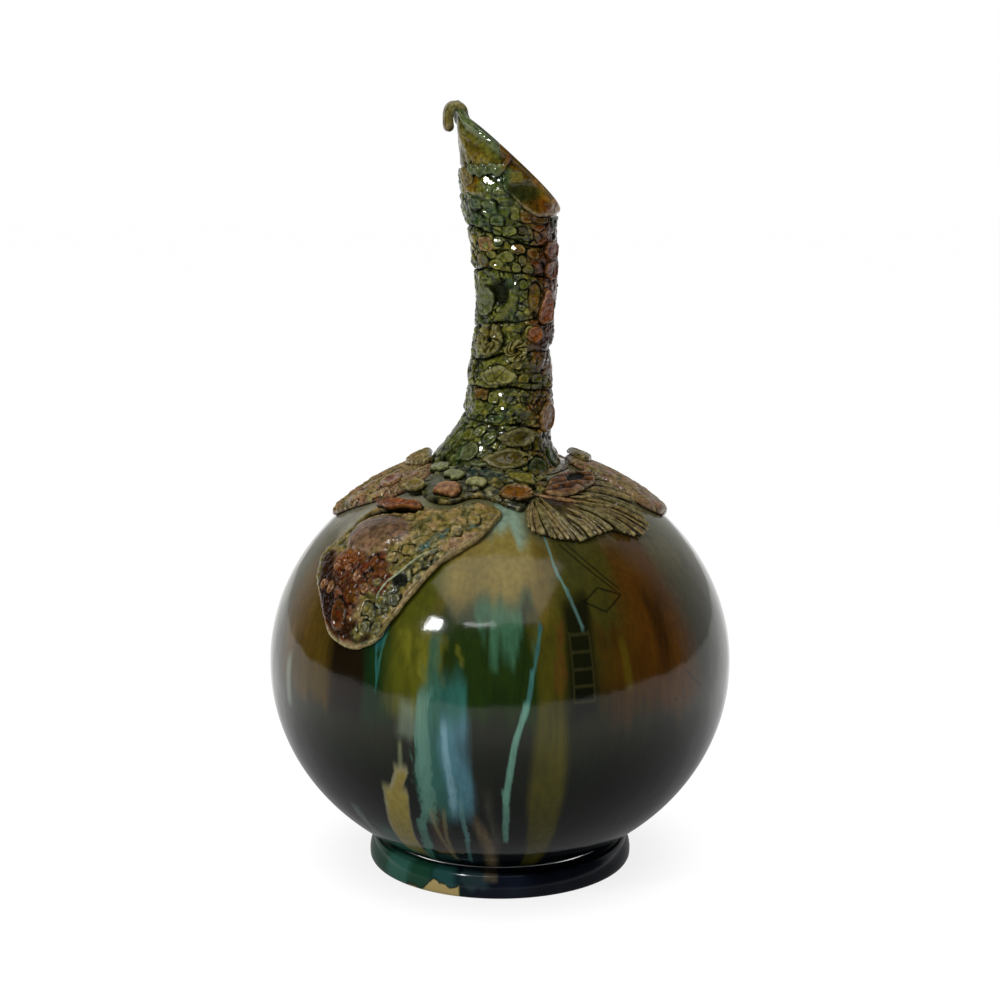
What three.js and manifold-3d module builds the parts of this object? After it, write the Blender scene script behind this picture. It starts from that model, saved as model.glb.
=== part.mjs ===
// A tall-necked stoneware bottle vase: a thrown globe on a turned foot, and a leaning neck with a
// beak-shaped mouth. Textured clay slabs wrap the neck and lie over the shoulder, and single
// pressed scales sit on them. Millimetres, +Z up, with the origin under the foot's centre.
// The front is -Y. An azimuth is in degrees from the front, and grows towards +X.
import * as THREE from 'three';
import Module from 'manifold-3d';
import { mergeVertices } from 'three/addons/utils/BufferGeometryUtils.js';

const wasm = await Module();
wasm.setup();

const degree = Math.PI / 180;

// Room left where one piece of clay rests on another
const clearance = 0.3;

// Thrown globe, made as two bowls that are joined at the widest line
const globeRadius = 115.8;
const globeHalfHeight = 104;
const globeWall = 6;
const floorRadius = 47;
const floorThickness = 8;
const throatRadius = 18;
const globeSides = 40;
const bowlRows = 8;

// Turned foot ring
const recessDepth = 8;
const footOuterRadius = 66.8;
const footWidth = 12.8;
const footBandHeight = 12;
const footTaper = 1.8;
const footBevel = 0.8;
const footCreaseDepth = 3;

// Neck, given by stations from the root to the tip of the beak. rise is the height above the crown
// of the globe, lean the centre line's sideways step, skin and tube the outer radii of the
// cladding and of the clay tube inside it.
const neckStations = [
  { rise: -16, lean: -2.6, skin: 38, tube: 26 },
  { rise: -1, lean: -2, skin: 31, tube: 23 },
  { rise: 9, lean: 0, skin: 25.5, tube: 20 },
  { rise: 23, lean: 4.2, skin: 21.6, tube: 17.6 },
  { rise: 43, lean: 5, skin: 20, tube: 16.5 },
  { rise: 78, lean: 7.8, skin: 19, tube: 15.5 },
  { rise: 103, lean: 6.5, skin: 21, tube: 17.2 },
  { rise: 123, lean: 5.5, skin: 23.3, tube: 19.5 },
  { rise: 149, lean: 3, skin: 23.5, tube: 20 },
  { rise: 180, lean: 0.4, skin: 23.5, tube: 20 },
];
const neckWall = 4.5;
const neckSides = 24;
const neckRowStep = 6;
const tubeRows = 24;

// Mouth, which slants from the beak on the left down to the collar on the right
const mouthLowRise = 122;
const mouthHighRise = 167;
const beakAzimuth = -75;
const beakTipRise = 6;
const beakTipHalfAngle = 20;
const leafFrontAzimuth = -8;
const leafBackAzimuth = -198;
const leafDepth = 26;
const collarDepth = 4;

// Rolled strip that hooks back from the tip of the beak
const curlReach = 5.2;
const curlDrop = 14;
const curlThickness = 2.6;
const curlWidth = 9;

// Ragged lip where the leaf's lower edge folds over
const lipHeight = 5;
const lipStand = 2.2;
const lipFrontAzimuth = 6;
const lipBackAzimuth = -52;

// Creases between the slabs round the neck: share of the way up to the mouth's low side, and how
// far the crease tilts up towards an azimuth
const creases = [
  { share: 0.148, tilt: 3, toward: -90 },
  { share: 0.287, tilt: 1.5, toward: -60 },
  { share: 0.418, tilt: 3, toward: 60 },
  { share: 0.557, tilt: 3, toward: 90 },
  { share: 0.746, tilt: 2, toward: -60 },
  { share: 0.885, tilt: 6, toward: -90 },
];
const slabEdgeRound = 1.4;
const bandRows = 4;
const rootEase = 0.4;

// Slabs on the shoulder
const slabThickness = 3.1;
const upperSlabThickness = 2.8;

// Ridges on them stand out of the slab by this share of their own radius
const ridgeStand = 0.7;
const ridgeRowStep = 6;
const ridgeSides = 6;

// Facets of the small and plain shapes
const pelletSides = 10;
const pelletRows = 6;
const mouthRows = 5;
const lipRows = 2;
const wedgeSides = 12;
const curlSegments = 4;

const globeCentre = recessDepth + globeHalfHeight * Math.sqrt(1 - (floorRadius / globeRadius) ** 2);
const crown = globeCentre + globeHalfHeight;
const footInnerRadius = footOuterRadius - footWidth;
const leafEdgeRise = mouthHighRise - leafDepth;
const collarEdgeRise = mouthLowRise - collarDepth;

// Turns a closed three.js geometry into a solid whose faces point outwards
function solidOf(geometry) {
  geometry.deleteAttribute('normal');
  geometry.deleteAttribute('uv');
  const merged = mergeVertices(geometry, 1e-4);
  const positions = merged.getAttribute('position');
  const corners = [0, 1, 2].map(() => new THREE.Vector3());
  const triangles = [];
  let volume = 0;
  for (let i = 0; i < merged.index.count; i += 3) {
    const face = [0, 1, 2].map((step) => merged.index.getX(i + step));
    if (new Set(face).size < 3) continue;
    face.forEach((vertex, n) => corners[n].fromBufferAttribute(positions, vertex));
    volume += corners[0].dot(corners[1].clone().cross(corners[2]));
    triangles.push(face);
  }
  const outward = volume > 0 ? triangles : triangles.map(([a, b, c]) => [a, c, b]);
  return new wasm.Manifold(new wasm.Mesh({
    numProp: 3,
    vertProperties: new Float32Array(positions.array),
    triVerts: new Uint32Array(outward.flat()),
  }));
}

const vase = new THREE.Group();

// Adds a finished solid to the vase as a named mesh with its own glaze
function addPiece(name, solid, color, roughness = 0.2) {
  const { vertProperties, triVerts } = solid.getMesh();
  const geometry = new THREE.BufferGeometry();
  geometry.setAttribute('position', new THREE.BufferAttribute(vertProperties, 3));
  geometry.setIndex(new THREE.BufferAttribute(triVerts, 1));
  geometry.computeVertexNormals();
  const material = new THREE.MeshStandardMaterial({ color, roughness, metalness: 0 });
  const mesh = new THREE.Mesh(geometry, material);
  mesh.name = name;
  vase.add(mesh);
}

// Solid turned about the vase's axis from a profile of [radius, height] points
function turned(profile, sides) {
  const geometry = new THREE.LatheGeometry(profile, sides);
  geometry.rotateX(Math.PI / 2);
  return solidOf(geometry);
}

function evenSteps(from, to, count) {
  return Array.from({ length: count + 1 }, (unused, i) => from + ((to - from) * i) / count);
}

// Point of the globe's outline at a latitude, moved outwards by an even offset
function meridian(latitude, offset) {
  const across = Math.cos(latitude * degree);
  const up = Math.sin(latitude * degree);
  const normal = new THREE.Vector2(globeHalfHeight * across, globeRadius * up).normalize();
  return new THREE.Vector2(
    globeRadius * across + offset * normal.x,
    globeCentre + globeHalfHeight * up + offset * normal.y,
  );
}

const floorLatitude = -Math.acos(floorRadius / globeRadius) / degree;
const throatLatitude = Math.acos(throatRadius / globeRadius) / degree;
const shoulderLatitudes = evenSteps(0, throatLatitude, bowlRows);

// Lower bowl: flat floor, and a wall up to the widest line
function lowerBowl() {
  const floorTop = recessDepth + floorThickness;
  const innerSine = (floorTop - globeCentre) / (globeHalfHeight - globeWall);
  const innerLatitude = Math.asin(innerSine) / degree;
  const outside = evenSteps(floorLatitude, 0, bowlRows).map((latitude) => meridian(latitude, 0));
  const inside = evenSteps(0, innerLatitude, bowlRows)
    .map((latitude) => meridian(latitude, -globeWall));
  inside[inside.length - 1].y = floorTop;
  const profile = [new THREE.Vector2(0, recessDepth), ...outside, ...inside,
    new THREE.Vector2(0, floorTop)];
  return turned(profile, globeSides);
}

// Part of a shell round the globe, between two offsets from its surface
function shoulderShell(innerOffset, outerOffset) {
  const outside = shoulderLatitudes.map((latitude) => meridian(latitude, outerOffset));
  const inside = shoulderLatitudes.map((latitude) => meridian(latitude, innerOffset)).reverse();
  return turned([...outside, ...inside, outside[0]], globeSides);
}

// Whole globe with no hollow, for cutting what rests on it
function globeBlank(growth) {
  const rows = evenSteps(-90, 0, bowlRows).slice(0, -1);
  const outline = [...rows, ...shoulderLatitudes].map((latitude) => meridian(latitude, growth));
  outline[0].x = 0;
  outline.push(new THREE.Vector2(0, crown + growth));
  return turned(outline, globeSides);
}

// Foot ring: a banded outside with a crease under the globe, and a flat face to stand on
function footRing() {
  const underGlobe = (radius) => globeCentre - clearance
    - globeHalfHeight * Math.sqrt(1 - (radius / globeRadius) ** 2);
  const creaseRadius = footOuterRadius - footTaper - footCreaseDepth;
  const seatMiddle = (footInnerRadius + creaseRadius) / 2;
  const point = (radius, height) => new THREE.Vector2(radius, height);
  const seat = [creaseRadius, seatMiddle, footInnerRadius]
    .map((radius) => point(radius, underGlobe(radius) - clearance));
  const profile = [
    point(footInnerRadius + footBevel, 0),
    point(footOuterRadius - footBevel, 0),
    point(footOuterRadius, footBevel),
    point(footOuterRadius, footBandHeight / 3),
    point(footOuterRadius - footTaper, footBandHeight - footBevel),
    point(footOuterRadius - footTaper - footBevel, footBandHeight),
    ...seat,
    point(footInnerRadius, footBevel),
  ];
  return turned([...profile, profile[0]], globeSides);
}

// Smooth value of the neck's lean, skin or tube at a height
function neckAt(height, key) {
  const rise = height - crown;
  const last = neckStations.length - 1;
  const found = neckStations.findIndex((station) => station.rise > rise);
  const upper = THREE.MathUtils.clamp(found < 0 ? last : found, 1, last);
  const [before, low, high, after] = [upper - 2, upper - 1, upper, upper + 1]
    .map((n) => neckStations[THREE.MathUtils.clamp(n, 0, last)]);
  const span = high.rise - low.rise;
  const t = THREE.MathUtils.clamp((rise - low.rise) / span, 0, 1);
  const lowSlope = (span * (high[key] - before[key])) / (high.rise - before.rise);
  const highSlope = (span * (after[key] - low[key])) / (after.rise - low.rise);
  return (2 * t ** 3 - 3 * t ** 2 + 1) * low[key] + (t ** 3 - 2 * t ** 2 + t) * lowSlope
    + (3 * t ** 2 - 2 * t ** 3) * high[key] + (t ** 3 - t ** 2) * highSlope;
}

const skinRadius = (height) => neckAt(height, 'skin');
const tubeRadius = (height) => neckAt(height, 'tube');
const boreRadius = (height) => tubeRadius(height) - neckWall;

// Height of the mouth's rim, with the pointed tip of the beak on the left
function rimHeight(azimuth) {
  const turn = Math.acos(Math.cos((azimuth - beakAzimuth) * degree));
  const slant = (1 + Math.cos(turn)) / 2;
  const tip = Math.max(0, 1 - turn / (beakTipHalfAngle * degree));
  return crown + mouthLowRise + (mouthHighRise - mouthLowRise) * slant + beakTipRise * tip;
}

// Height of the lower edge of the leaf and collar slabs
function mouthSeam(azimuth) {
  const towardBeak = Math.cos((azimuth - beakAzimuth) * degree);
  const share = THREE.MathUtils.smoothstep(towardBeak, -0.4, 1);
  return crown + collarEdgeRise + (leafEdgeRise - collarEdgeRise) * share;
}

const creaseHeight = ({ share, tilt, toward }) => (azimuth) =>
  crown + share * mouthLowRise + tilt * Math.cos((azimuth - toward) * degree);

// Ring of clay round the leaning neck, between two heights that may change with the azimuth
function neckRing(low, high, inner, outer, rows, edgeRound = 0) {
  const innerMark = 1;
  const outerMark = 2;
  const outside = evenSteps(0, 1, rows).map((share) => new THREE.Vector2(outerMark, share));
  const inside = evenSteps(1, 0, Math.ceil(rows / 2))
    .map((share) => new THREE.Vector2(innerMark, share));
  const geometry = new THREE.LatheGeometry([...outside, ...inside, outside[0]], neckSides);
  geometry.rotateX(Math.PI / 2);
  const positions = geometry.getAttribute('position');
  for (let i = 0; i < positions.count; i += 1) {
    const across = new THREE.Vector2(positions.getX(i), -positions.getY(i));
    const azimuth = Math.atan2(across.x, across.y) / degree;
    const share = positions.getZ(i);
    const height = low(azimuth) + (high(azimuth) - low(azimuth)) * share;
    const rounding = edgeRound * Math.abs(2 * share - 1) ** 4;
    const isOutside = across.length() > (innerMark + outerMark) / 2;
    const radius = isOutside ? outer(height) - rounding : inner(height);
    across.setLength(radius);
    positions.setXYZ(i, across.x + neckAt(height, 'lean'), -across.y, height);
  }
  return solidOf(geometry);
}

// The whole neck with no bore, for cutting what rests on it
function neckBlank(growth) {
  const low = crown + neckStations[0].rise;
  const high = crown + neckStations[neckStations.length - 1].rise;
  const heights = evenSteps(low, high, Math.round((high - low) / neckRowStep));
  const outline = heights.map((height) => new THREE.Vector2(skinRadius(height) + growth, height));
  const profile = [new THREE.Vector2(0, low), ...outline, new THREE.Vector2(0, high)];
  const geometry = new THREE.LatheGeometry(profile, neckSides);
  geometry.rotateX(Math.PI / 2);
  const positions = geometry.getAttribute('position');
  for (let i = 0; i < positions.count; i += 1) {
    positions.setX(i, positions.getX(i) + neckAt(positions.getZ(i), 'lean'));
  }
  return solidOf(geometry);
}

const neckCutter = neckBlank(clearance);
const globeCutter = globeBlank(clearance);
const slabCutter = globeBlank(clearance + slabThickness + clearance);
const neckFootHeight = crown + neckStations[0].rise;

// Upright wedge about the neck's mouth, from one azimuth round to another
function mouthWedge(fromAzimuth, toAzimuth) {
  const reach = 3 * skinRadius(crown + leafEdgeRise);
  const arc = evenSteps(fromAzimuth, toAzimuth, wedgeSides).map((azimuth) => new THREE.Vector2(
    reach * Math.sin(azimuth * degree),
    -reach * Math.cos(azimuth * degree),
  ));
  const shape = new THREE.Shape([new THREE.Vector2(0, 0), ...arc]);
  const depth = mouthHighRise + 2 * beakTipRise;
  const geometry = new THREE.ExtrudeGeometry(shape, { depth, bevelEnabled: false });
  geometry.translate(neckAt(crown + leafEdgeRise, 'lean'), 0, crown);
  return solidOf(geometry);
}

// Slab cut to an outline of [azimuth, latitude] points and laid on the globe between two offsets
function shoulderSlab(outline, innerOffset, thickness) {
  const directions = outline.map(([azimuth, latitude]) => {
    const edge = meridian(latitude, 0);
    return new THREE.Vector3(edge.x, 0, edge.y - globeCentre)
      .applyAxisAngle(new THREE.Vector3(0, 0, 1), (azimuth - 90) * degree)
      .normalize();
  });
  const middle = directions.reduce((sum, next) => sum.add(next), new THREE.Vector3()).normalize();
  const sideways = new THREE.Vector3(0, 0, 1).cross(middle).normalize();
  const upwards = middle.clone().cross(sideways);
  const flat = directions.map((direction) => new THREE.Vector2(
    direction.dot(sideways) / direction.dot(middle),
    direction.dot(upwards) / direction.dot(middle),
  ));
  const shape = new THREE.Shape();
  shape.moveTo(flat[0].x, flat[0].y);
  shape.splineThru([...flat.slice(1), flat[0]]);
  const cutter = new THREE.ExtrudeGeometry(shape, {
    depth: 1, bevelEnabled: false, curveSegments: 2,
  });
  const positions = cutter.getAttribute('position');
  const nearReach = globeHalfHeight / 4;
  const farReach = globeRadius * 2;
  for (let i = 0; i < positions.count; i += 1) {
    const reach = nearReach + (farReach - nearReach) * positions.getZ(i);
    const corner = middle.clone()
      .addScaledVector(sideways, positions.getX(i))
      .addScaledVector(upwards, positions.getY(i))
      .multiplyScalar(reach);
    positions.setXYZ(i, corner.x, corner.y, corner.z + globeCentre);
  }
  return shoulderShell(innerOffset, innerOffset + thickness)
    .intersect(solidOf(cutter))
    .subtract(neckCutter);
}

// Rounded pellet of clay: width, height and stand are its extents sideways, along the surface and
// out of it, and turn rotates it in its own plane
function pellet(centre, outwards, width, height, stand, turn) {
  const geometry = new THREE.SphereGeometry(1, pelletSides, pelletRows);
  geometry.scale(width / 2, stand, height / 2);
  geometry.rotateY(turn * degree);
  const sideways = new THREE.Vector3(0, 0, 1).cross(outwards).normalize();
  const upwards = outwards.clone().cross(sideways);
  const frame = new THREE.Matrix4().makeBasis(sideways, outwards.clone().negate(), upwards);
  geometry.applyMatrix4(frame.setPosition(centre));
  return solidOf(geometry);
}

function neckPellet({ azimuth, rise, width, height, stand, turn = 0 }) {
  const outwards = new THREE.Vector3(Math.sin(azimuth * degree), -Math.cos(azimuth * degree), 0);
  const level = crown + rise;
  const centre = outwards.clone().multiplyScalar(skinRadius(level));
  centre.add(new THREE.Vector3(neckAt(level, 'lean'), 0, level));
  return pellet(centre, outwards, width, height, stand, turn);
}

// Point over the shoulder at an offset from the globe
function overShoulder(azimuth, latitude, offset) {
  const { x, y } = meridian(latitude, offset);
  return new THREE.Vector3(x, 0, y)
    .applyAxisAngle(new THREE.Vector3(0, 0, 1), (azimuth - 90) * degree);
}

function shoulderPellet({ azimuth, latitude, width, height, stand, turn = 0 }) {
  const centre = overShoulder(azimuth, latitude, clearance + slabThickness);
  const outwards = centre.clone().sub(overShoulder(azimuth, latitude, 0)).normalize();
  return pellet(centre, outwards, width, height, stand, turn);
}

// Rounded ridge that follows a path of [azimuth, latitude] points over a slab and thins to its ends
function shoulderRidge(path, radius) {
  const course = new THREE.SplineCurve(path.map((point) => new THREE.Vector2(...point)));
  const offset = clearance + slabThickness - (1 - ridgeStand) * radius;
  const at = (share) => {
    const { x, y } = course.getPoint(THREE.MathUtils.clamp(share, 0, 1));
    return { centre: overShoulder(x, y, offset), below: overShoulder(x, y, 0) };
  };
  const corners = path.map(([azimuth, latitude]) => overShoulder(azimuth, latitude, offset));
  const reach = corners.slice(1)
    .reduce((sum, corner, n) => sum + corner.distanceTo(corners[n]), 0);
  const rows = Math.ceil(reach / ridgeRowStep) + 1;
  const profile = evenSteps(0, 1, rows)
    .map((share) => new THREE.Vector2(radius * Math.sqrt(Math.sin(Math.PI * share)), share));
  profile[0].x = 0;
  profile[rows].x = 0;
  const geometry = new THREE.LatheGeometry(profile, ridgeSides);
  const positions = geometry.getAttribute('position');
  for (let i = 0; i < positions.count; i += 1) {
    const share = positions.getY(i);
    const { centre, below } = at(share);
    const outwards = centre.clone().sub(below).normalize();
    const ahead = at(share + 0.5 / rows).centre.sub(at(share - 0.5 / rows).centre);
    const sideways = ahead.cross(outwards).normalize();
    const place = centre.clone()
      .addScaledVector(sideways, positions.getX(i))
      .addScaledVector(outwards, positions.getZ(i));
    positions.setXYZ(i, place.x, place.y, place.z);
  }
  return solidOf(geometry);
}

// Core of the vase
addPiece('foot_ring', footRing(), '#1d2a2c');
addPiece('globe_lower_bowl', lowerBowl(), '#2c3a2c', 0.15);
addPiece('globe_upper_bowl', shoulderShell(-globeWall, 0), '#4c4a22', 0.15);
addPiece(
  'neck_tube',
  neckRing(() => neckFootHeight, rimHeight, boreRadius, tubeRadius, tubeRows).subtract(globeCutter),
  '#3f4a26',
);

// Slabs round the neck, from the root upwards
const bandNames = ['root_band', 'small_pebble_band', 'lens_band', 'rosette_band', 'hollow_band',
  'big_pebble_band', 'knobbly_band'];
const bandColors = ['#4f5228', '#474c25', '#565a2c', '#4a4a24', '#26321c', '#50502a', '#45502c'];
const underSkin = (height) => tubeRadius(height) + clearance;
const underRoot = (height) => underSkin(height) + rootEase;
const bandEdges = [() => neckFootHeight, ...creases.map(creaseHeight), mouthSeam];
bandNames.forEach((name, n) => {
  const low = (azimuth) => bandEdges[n](azimuth) + clearance / 2;
  const high = (azimuth) => bandEdges[n + 1](azimuth) - clearance / 2;
  const rows = n === 0 ? 2 * bandRows : bandRows;
  const inner = n === 0 ? underRoot : underSkin;
  const band = neckRing(low, high, inner, skinRadius, rows, slabEdgeRound);
  addPiece(name, band.subtract(globeCutter), bandColors[n]);
});

// Mouth: the leaf that forms the beak, the collar, the folded lip and the curl
const mouthLow = (azimuth) => mouthSeam(azimuth) + clearance;
const mouthRing = neckRing(mouthLow, rimHeight, underSkin, skinRadius, mouthRows);
const gapTurn = clearance / skinRadius(crown + leafEdgeRise) / degree;
addPiece(
  'beak_leaf',
  mouthRing.intersect(mouthWedge(leafBackAzimuth, leafFrontAzimuth)),
  '#6b5a2c',
);
addPiece(
  'mouth_collar',
  mouthRing.intersect(
    mouthWedge(leafFrontAzimuth + gapTurn, leafBackAzimuth + 360 - gapTurn),
  ),
  '#7a4a1e',
);
addPiece(
  'fold_lip',
  neckRing(
    mouthLow,
    (azimuth) => mouthLow(azimuth) + lipHeight,
    (height) => skinRadius(height) + clearance,
    (height) => skinRadius(height) + clearance + lipStand,
    lipRows,
  ).intersect(mouthWedge(lipBackAzimuth, lipFrontAzimuth)),
  '#5d6a4a',
);

// Curl: a strip bent into a hook, seen from the front, and as wide as the tip of the beak
function beakCurl() {
  const tipHeight = rimHeight(beakAzimuth);
  const level = tipHeight - curlDrop / 2;
  const wall = skinRadius(level) + clearance;
  const outer = new THREE.Vector2(wall, tipHeight);
  const shape = new THREE.Shape();
  shape.moveTo(outer.x, outer.y - curlThickness);
  shape.lineTo(outer.x, outer.y);
  shape.quadraticCurveTo(wall + curlReach, outer.y, wall + curlReach, level);
  shape.quadraticCurveTo(wall + curlReach, outer.y - curlDrop, wall + curlReach / 3,
    outer.y - curlDrop);
  shape.lineTo(wall + curlReach / 3, outer.y - curlDrop + curlThickness);
  shape.quadraticCurveTo(wall + curlReach - curlThickness, outer.y - curlDrop + curlThickness,
    wall + curlReach - curlThickness, level);
  shape.quadraticCurveTo(wall + curlReach - curlThickness, outer.y - curlThickness, outer.x,
    outer.y - curlThickness);
  const geometry = new THREE.ExtrudeGeometry(shape, {
    depth: curlWidth, bevelEnabled: false, curveSegments: curlSegments,
  });
  geometry.translate(0, 0, -curlWidth / 2);
  geometry.rotateX(Math.PI / 2);
  geometry.rotateZ((beakAzimuth - 90) * degree);
  geometry.translate(neckAt(level, 'lean'), 0, 0);
  return solidOf(geometry).subtract(neckCutter);
}
addPiece('beak_curl', beakCurl(), '#5a4a28');

// Slabs on the shoulder, each an outline of [azimuth, latitude] points on the globe
const slabs = [
  {
    name: 'root_skirt',
    color: '#6a6a3a',
    outline: [[-50, 66], [-41, 61], [-30, 58.8], [-22, 59.2], [-14, 61.8], [-6, 61.4], [2, 59],
      [9, 57], [14, 61], [20, 66], [24, 71], [5, 75], [-20, 75.5], [-44, 74], [-51, 70]],
  },
  {
    name: 'left_wing_slab',
    color: '#6d4a26',
    outline: [[1, 56], [-6, 48.5], [-12.2, 43.9], [-17.8, 39.9], [-22.4, 33.9], [-25.3, 29.2],
      [-28.1, 23.6], [-30.7, 18.7], [-37, 15.8], [-44.2, 17.2], [-48, 20.6], [-53, 25.5],
      [-60, 31], [-64, 37], [-58, 43.5], [-54.5, 50.5], [-48.4, 56], [-40, 57], [-31, 56.2],
      [-22, 57], [-15, 59.4], [-7, 59.2]],
  },
  {
    name: 'left_back_slab',
    color: '#665434',
    outline: [[-54, 61], [-53, 66], [-57, 71], [-80, 73.5], [-105, 71.5], [-120, 62], [-112, 52],
      [-100, 46.5], [-90, 44.5], [-80, 48.5], [-70, 53], [-60, 57]],
  },
  {
    name: 'fan_slab',
    color: '#5c5430',
    outline: [[11, 54], [12, 50], [19, 47.6], [28, 46.2], [36, 47.4], [42.5, 47.8], [48, 45.6],
      [55, 44.8], [60.5, 46.6], [64, 51], [69.5, 57], [64, 64], [48, 68.5], [32, 68.5],
      [25, 65.5], [18, 60]],
  },
  {
    name: 'right_back_slab',
    color: '#5e5836',
    outline: [[74, 52], [79, 48], [86, 45.4], [94, 45], [103, 46.8], [115, 53], [128, 61],
      [126, 69], [108, 72.5], [86, 72], [76, 67], [74, 59]],
  },
  {
    name: 'rear_slab',
    color: '#54502c',
    outline: [[140, 61], [149, 52.5], [168, 48], [190, 50], [208, 54], [221, 61], [216, 70],
      [196, 74], [165, 74], [146, 70]],
  },
];
const wingHump = { azimuth: -40, latitude: 48, width: 34, height: 20, stand: 4, turn: 12 };

// Ridges of each slab: the rolled lower edge of the wing and the raised line inside it, the main
// ribs combed into the fan, and the dragged folds of the slabs behind
const ridges = {
  left_wing_slab: {
    radius: 1.5,
    paths: [
      [[-3, 52.6], [-12.2, 45.3], [-17.8, 41.1], [-21.5, 35.4], [-24.6, 30], [-27.6, 24.4],
        [-30.8, 20.2], [-36.6, 17.4], [-43.4, 18.7], [-47.2, 22], [-52, 26.6], [-58.4, 31.8],
        [-61.8, 37], [-56.8, 43]],
      [[-20, 47.4], [-25.1, 42.6], [-29, 37.6], [-31.6, 33.5], [-32.6, 28]],
    ],
  },
  fan_slab: {
    radius: 1.1,
    paths: [
      [[14, 56.6], [14, 51.2]], [[16.5, 57], [18.4, 49.6]], [[19, 57.2], [23, 49]],
      [[21.5, 57.2], [27.6, 48.6]], [[24.5, 57.4], [32.4, 48.8]], [[28, 57.6], [37, 49.6]],
      [[33, 57.2], [42, 50]], [[38, 56.4], [48, 48.6]], [[42, 57], [53.4, 47.6]],
      [[46, 58.4], [58.2, 49]], [[50, 59.6], [61.6, 51.8]], [[54, 60.8], [64.6, 55.6]],
    ],
  },
  right_back_slab: {
    radius: 1.3,
    paths: [
      [[80, 64], [80.5, 51]], [[88, 65], [86.6, 48.4]], [[97, 65], [94.6, 47.4]],
      [[107, 65], [103, 49.6]], [[116, 65], [112, 54.4]],
    ],
  },
  left_back_slab: { radius: 1.3, paths: [[[-77, 65], [-82, 53]], [[-90, 65], [-95, 49.6]]] },
  rear_slab: {
    radius: 1.3,
    paths: [
      [[168, 71.5], [160, 54.4]], [[180, 72], [174, 52]], [[190, 72], [188, 52.6]],
      [[200, 71.5], [202, 55.4]],
    ],
  },
};
slabs.forEach(({ name, color, outline }) => {
  let slab = shoulderSlab(outline, clearance, slabThickness);
  if (name === 'left_wing_slab') {
    const hump = shoulderPellet(wingHump).subtract(globeBlank(clearance + slabThickness / 2));
    slab = slab.add(hump);
  }
  const { radius, paths } = ridges[name] ?? { radius: 0, paths: [] };
  paths.forEach((path) => {
    slab = slab.add(shoulderRidge(path, radius).subtract(neckCutter));
  });
  addPiece(name, slab, color, 0.3);
});

// Folded flaps and the curled leaf, which lie on the slabs
const flaps = [
  {
    name: 'folded_leaf',
    color: '#9a5a22',
    outline: [[22, 61], [30, 59.2], [42, 60.5], [56, 62.5], [61, 66], [50, 68], [35, 67.5],
      [27, 65]],
  },
  {
    name: 'root_flap_left',
    color: '#5c5a34',
    outline: [[-68, 70], [-88, 67], [-112, 68], [-118, 71], [-104, 73], [-84, 73.5], [-70, 73]],
  },
  {
    name: 'root_flap_right',
    color: '#6b4e2a',
    outline: [[88, 69], [102, 67], [120, 67.5], [124, 70], [110, 72], [94, 72]],
  },
];
flaps.forEach(({ name, color, outline }) => {
  const offset = clearance + slabThickness + clearance;
  addPiece(name, shoulderSlab(outline, offset, upperSlabThickness), color, 0.3);
});

// Single scales pressed on the neck
const neckScales = [
  { name: 'eye_scale_upper', azimuth: 18, rise: 12.6, width: 17, height: 8.6, stand: 2.2 },
  { name: 'eye_scale_lower', azimuth: 10, rise: 3, width: 17, height: 8.4, stand: 2.2 },
  { name: 'green_oval_scale', azimuth: -30, rise: 6, width: 7, height: 8, stand: 2 },
  { name: 'right_edge_oval', azimuth: 59, rise: 21, width: 11, height: 14, stand: 2 },
  { name: 'lens_scale', azimuth: -16, rise: 42.6, width: 19.5, height: 11.5, stand: 2.2 },
  { name: 'rosette_left', azimuth: -35, rise: 59.5, width: 14, height: 15, stand: 1.8 },
  { name: 'rosette_right', azimuth: 5, rise: 54.5, width: 11, height: 11, stand: 1.8 },
  { name: 'orange_scale', azimuth: 31, rise: 62, width: 9, height: 8, stand: 1.8 },
  { name: 'left_oval_scale', azimuth: -49, rise: 78, width: 11.5, height: 13.5, stand: 2 },
  { name: 'pointed_scale', azimuth: 52, rise: 75, width: 11.5, height: 16, stand: 2 },
  { name: 'red_scale_lower', azimuth: 60, rise: 92.5, width: 10, height: 8.4, stand: 1.8 },
  { name: 'red_scale_upper', azimuth: 60, rise: 102, width: 10, height: 8.4, stand: 1.8 },
  { name: 'square_scale', azimuth: -37, rise: 105.5, width: 7, height: 6.6, stand: 1.5 },
];
neckScales.forEach((scale, n) => {
  const color = n % 2 ? '#7a5a24' : '#8a7a3a';
  addPiece(scale.name, neckPellet(scale).subtract(neckCutter).subtract(slabCutter), color);
});

// Single scales and shards pressed on the shoulder slabs
const shoulderScales = [
  { name: 'olive_half_moon', azimuth: 13, latitude: 68, width: 11.5, height: 8, stand: 2.2 },
  { name: 'shell_scale', azimuth: 7, latitude: 62, width: 14, height: 9.6, stand: 2.4 },
  { name: 'bright_shard', azimuth: -12, latitude: 70, width: 6, height: 6, stand: 2 },
  { name: 'cream_half_moon', azimuth: -12, latitude: 65.4, width: 9.6, height: 6, stand: 2 },
  { name: 'crescent_scale', azimuth: -29, latitude: 66.4, width: 9.6, height: 8, stand: 2 },
  { name: 'pale_shard', azimuth: -43, latitude: 70, width: 7.5, height: 6, stand: 2 },
  { name: 'pink_disc', azimuth: -26, latitude: 60.6, width: 13.4, height: 9, stand: 2.4 },
  { name: 'round_scale_inner', azimuth: -46, latitude: 62.6, width: 11, height: 8, stand: 2.2 },
  { name: 'round_scale_outer', azimuth: -66, latitude: 61, width: 12, height: 9.6, stand: 2.2 },
  { name: 'orange_ridge', azimuth: -41, latitude: 55, width: 25, height: 6, stand: 4.4, turn: 6 },
];
shoulderScales.forEach((scale, n) => {
  const color = n % 2 ? '#a89060' : '#7c6a38';
  addPiece(scale.name, shoulderPellet(scale).subtract(slabCutter).subtract(neckCutter), color);
});

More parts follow.
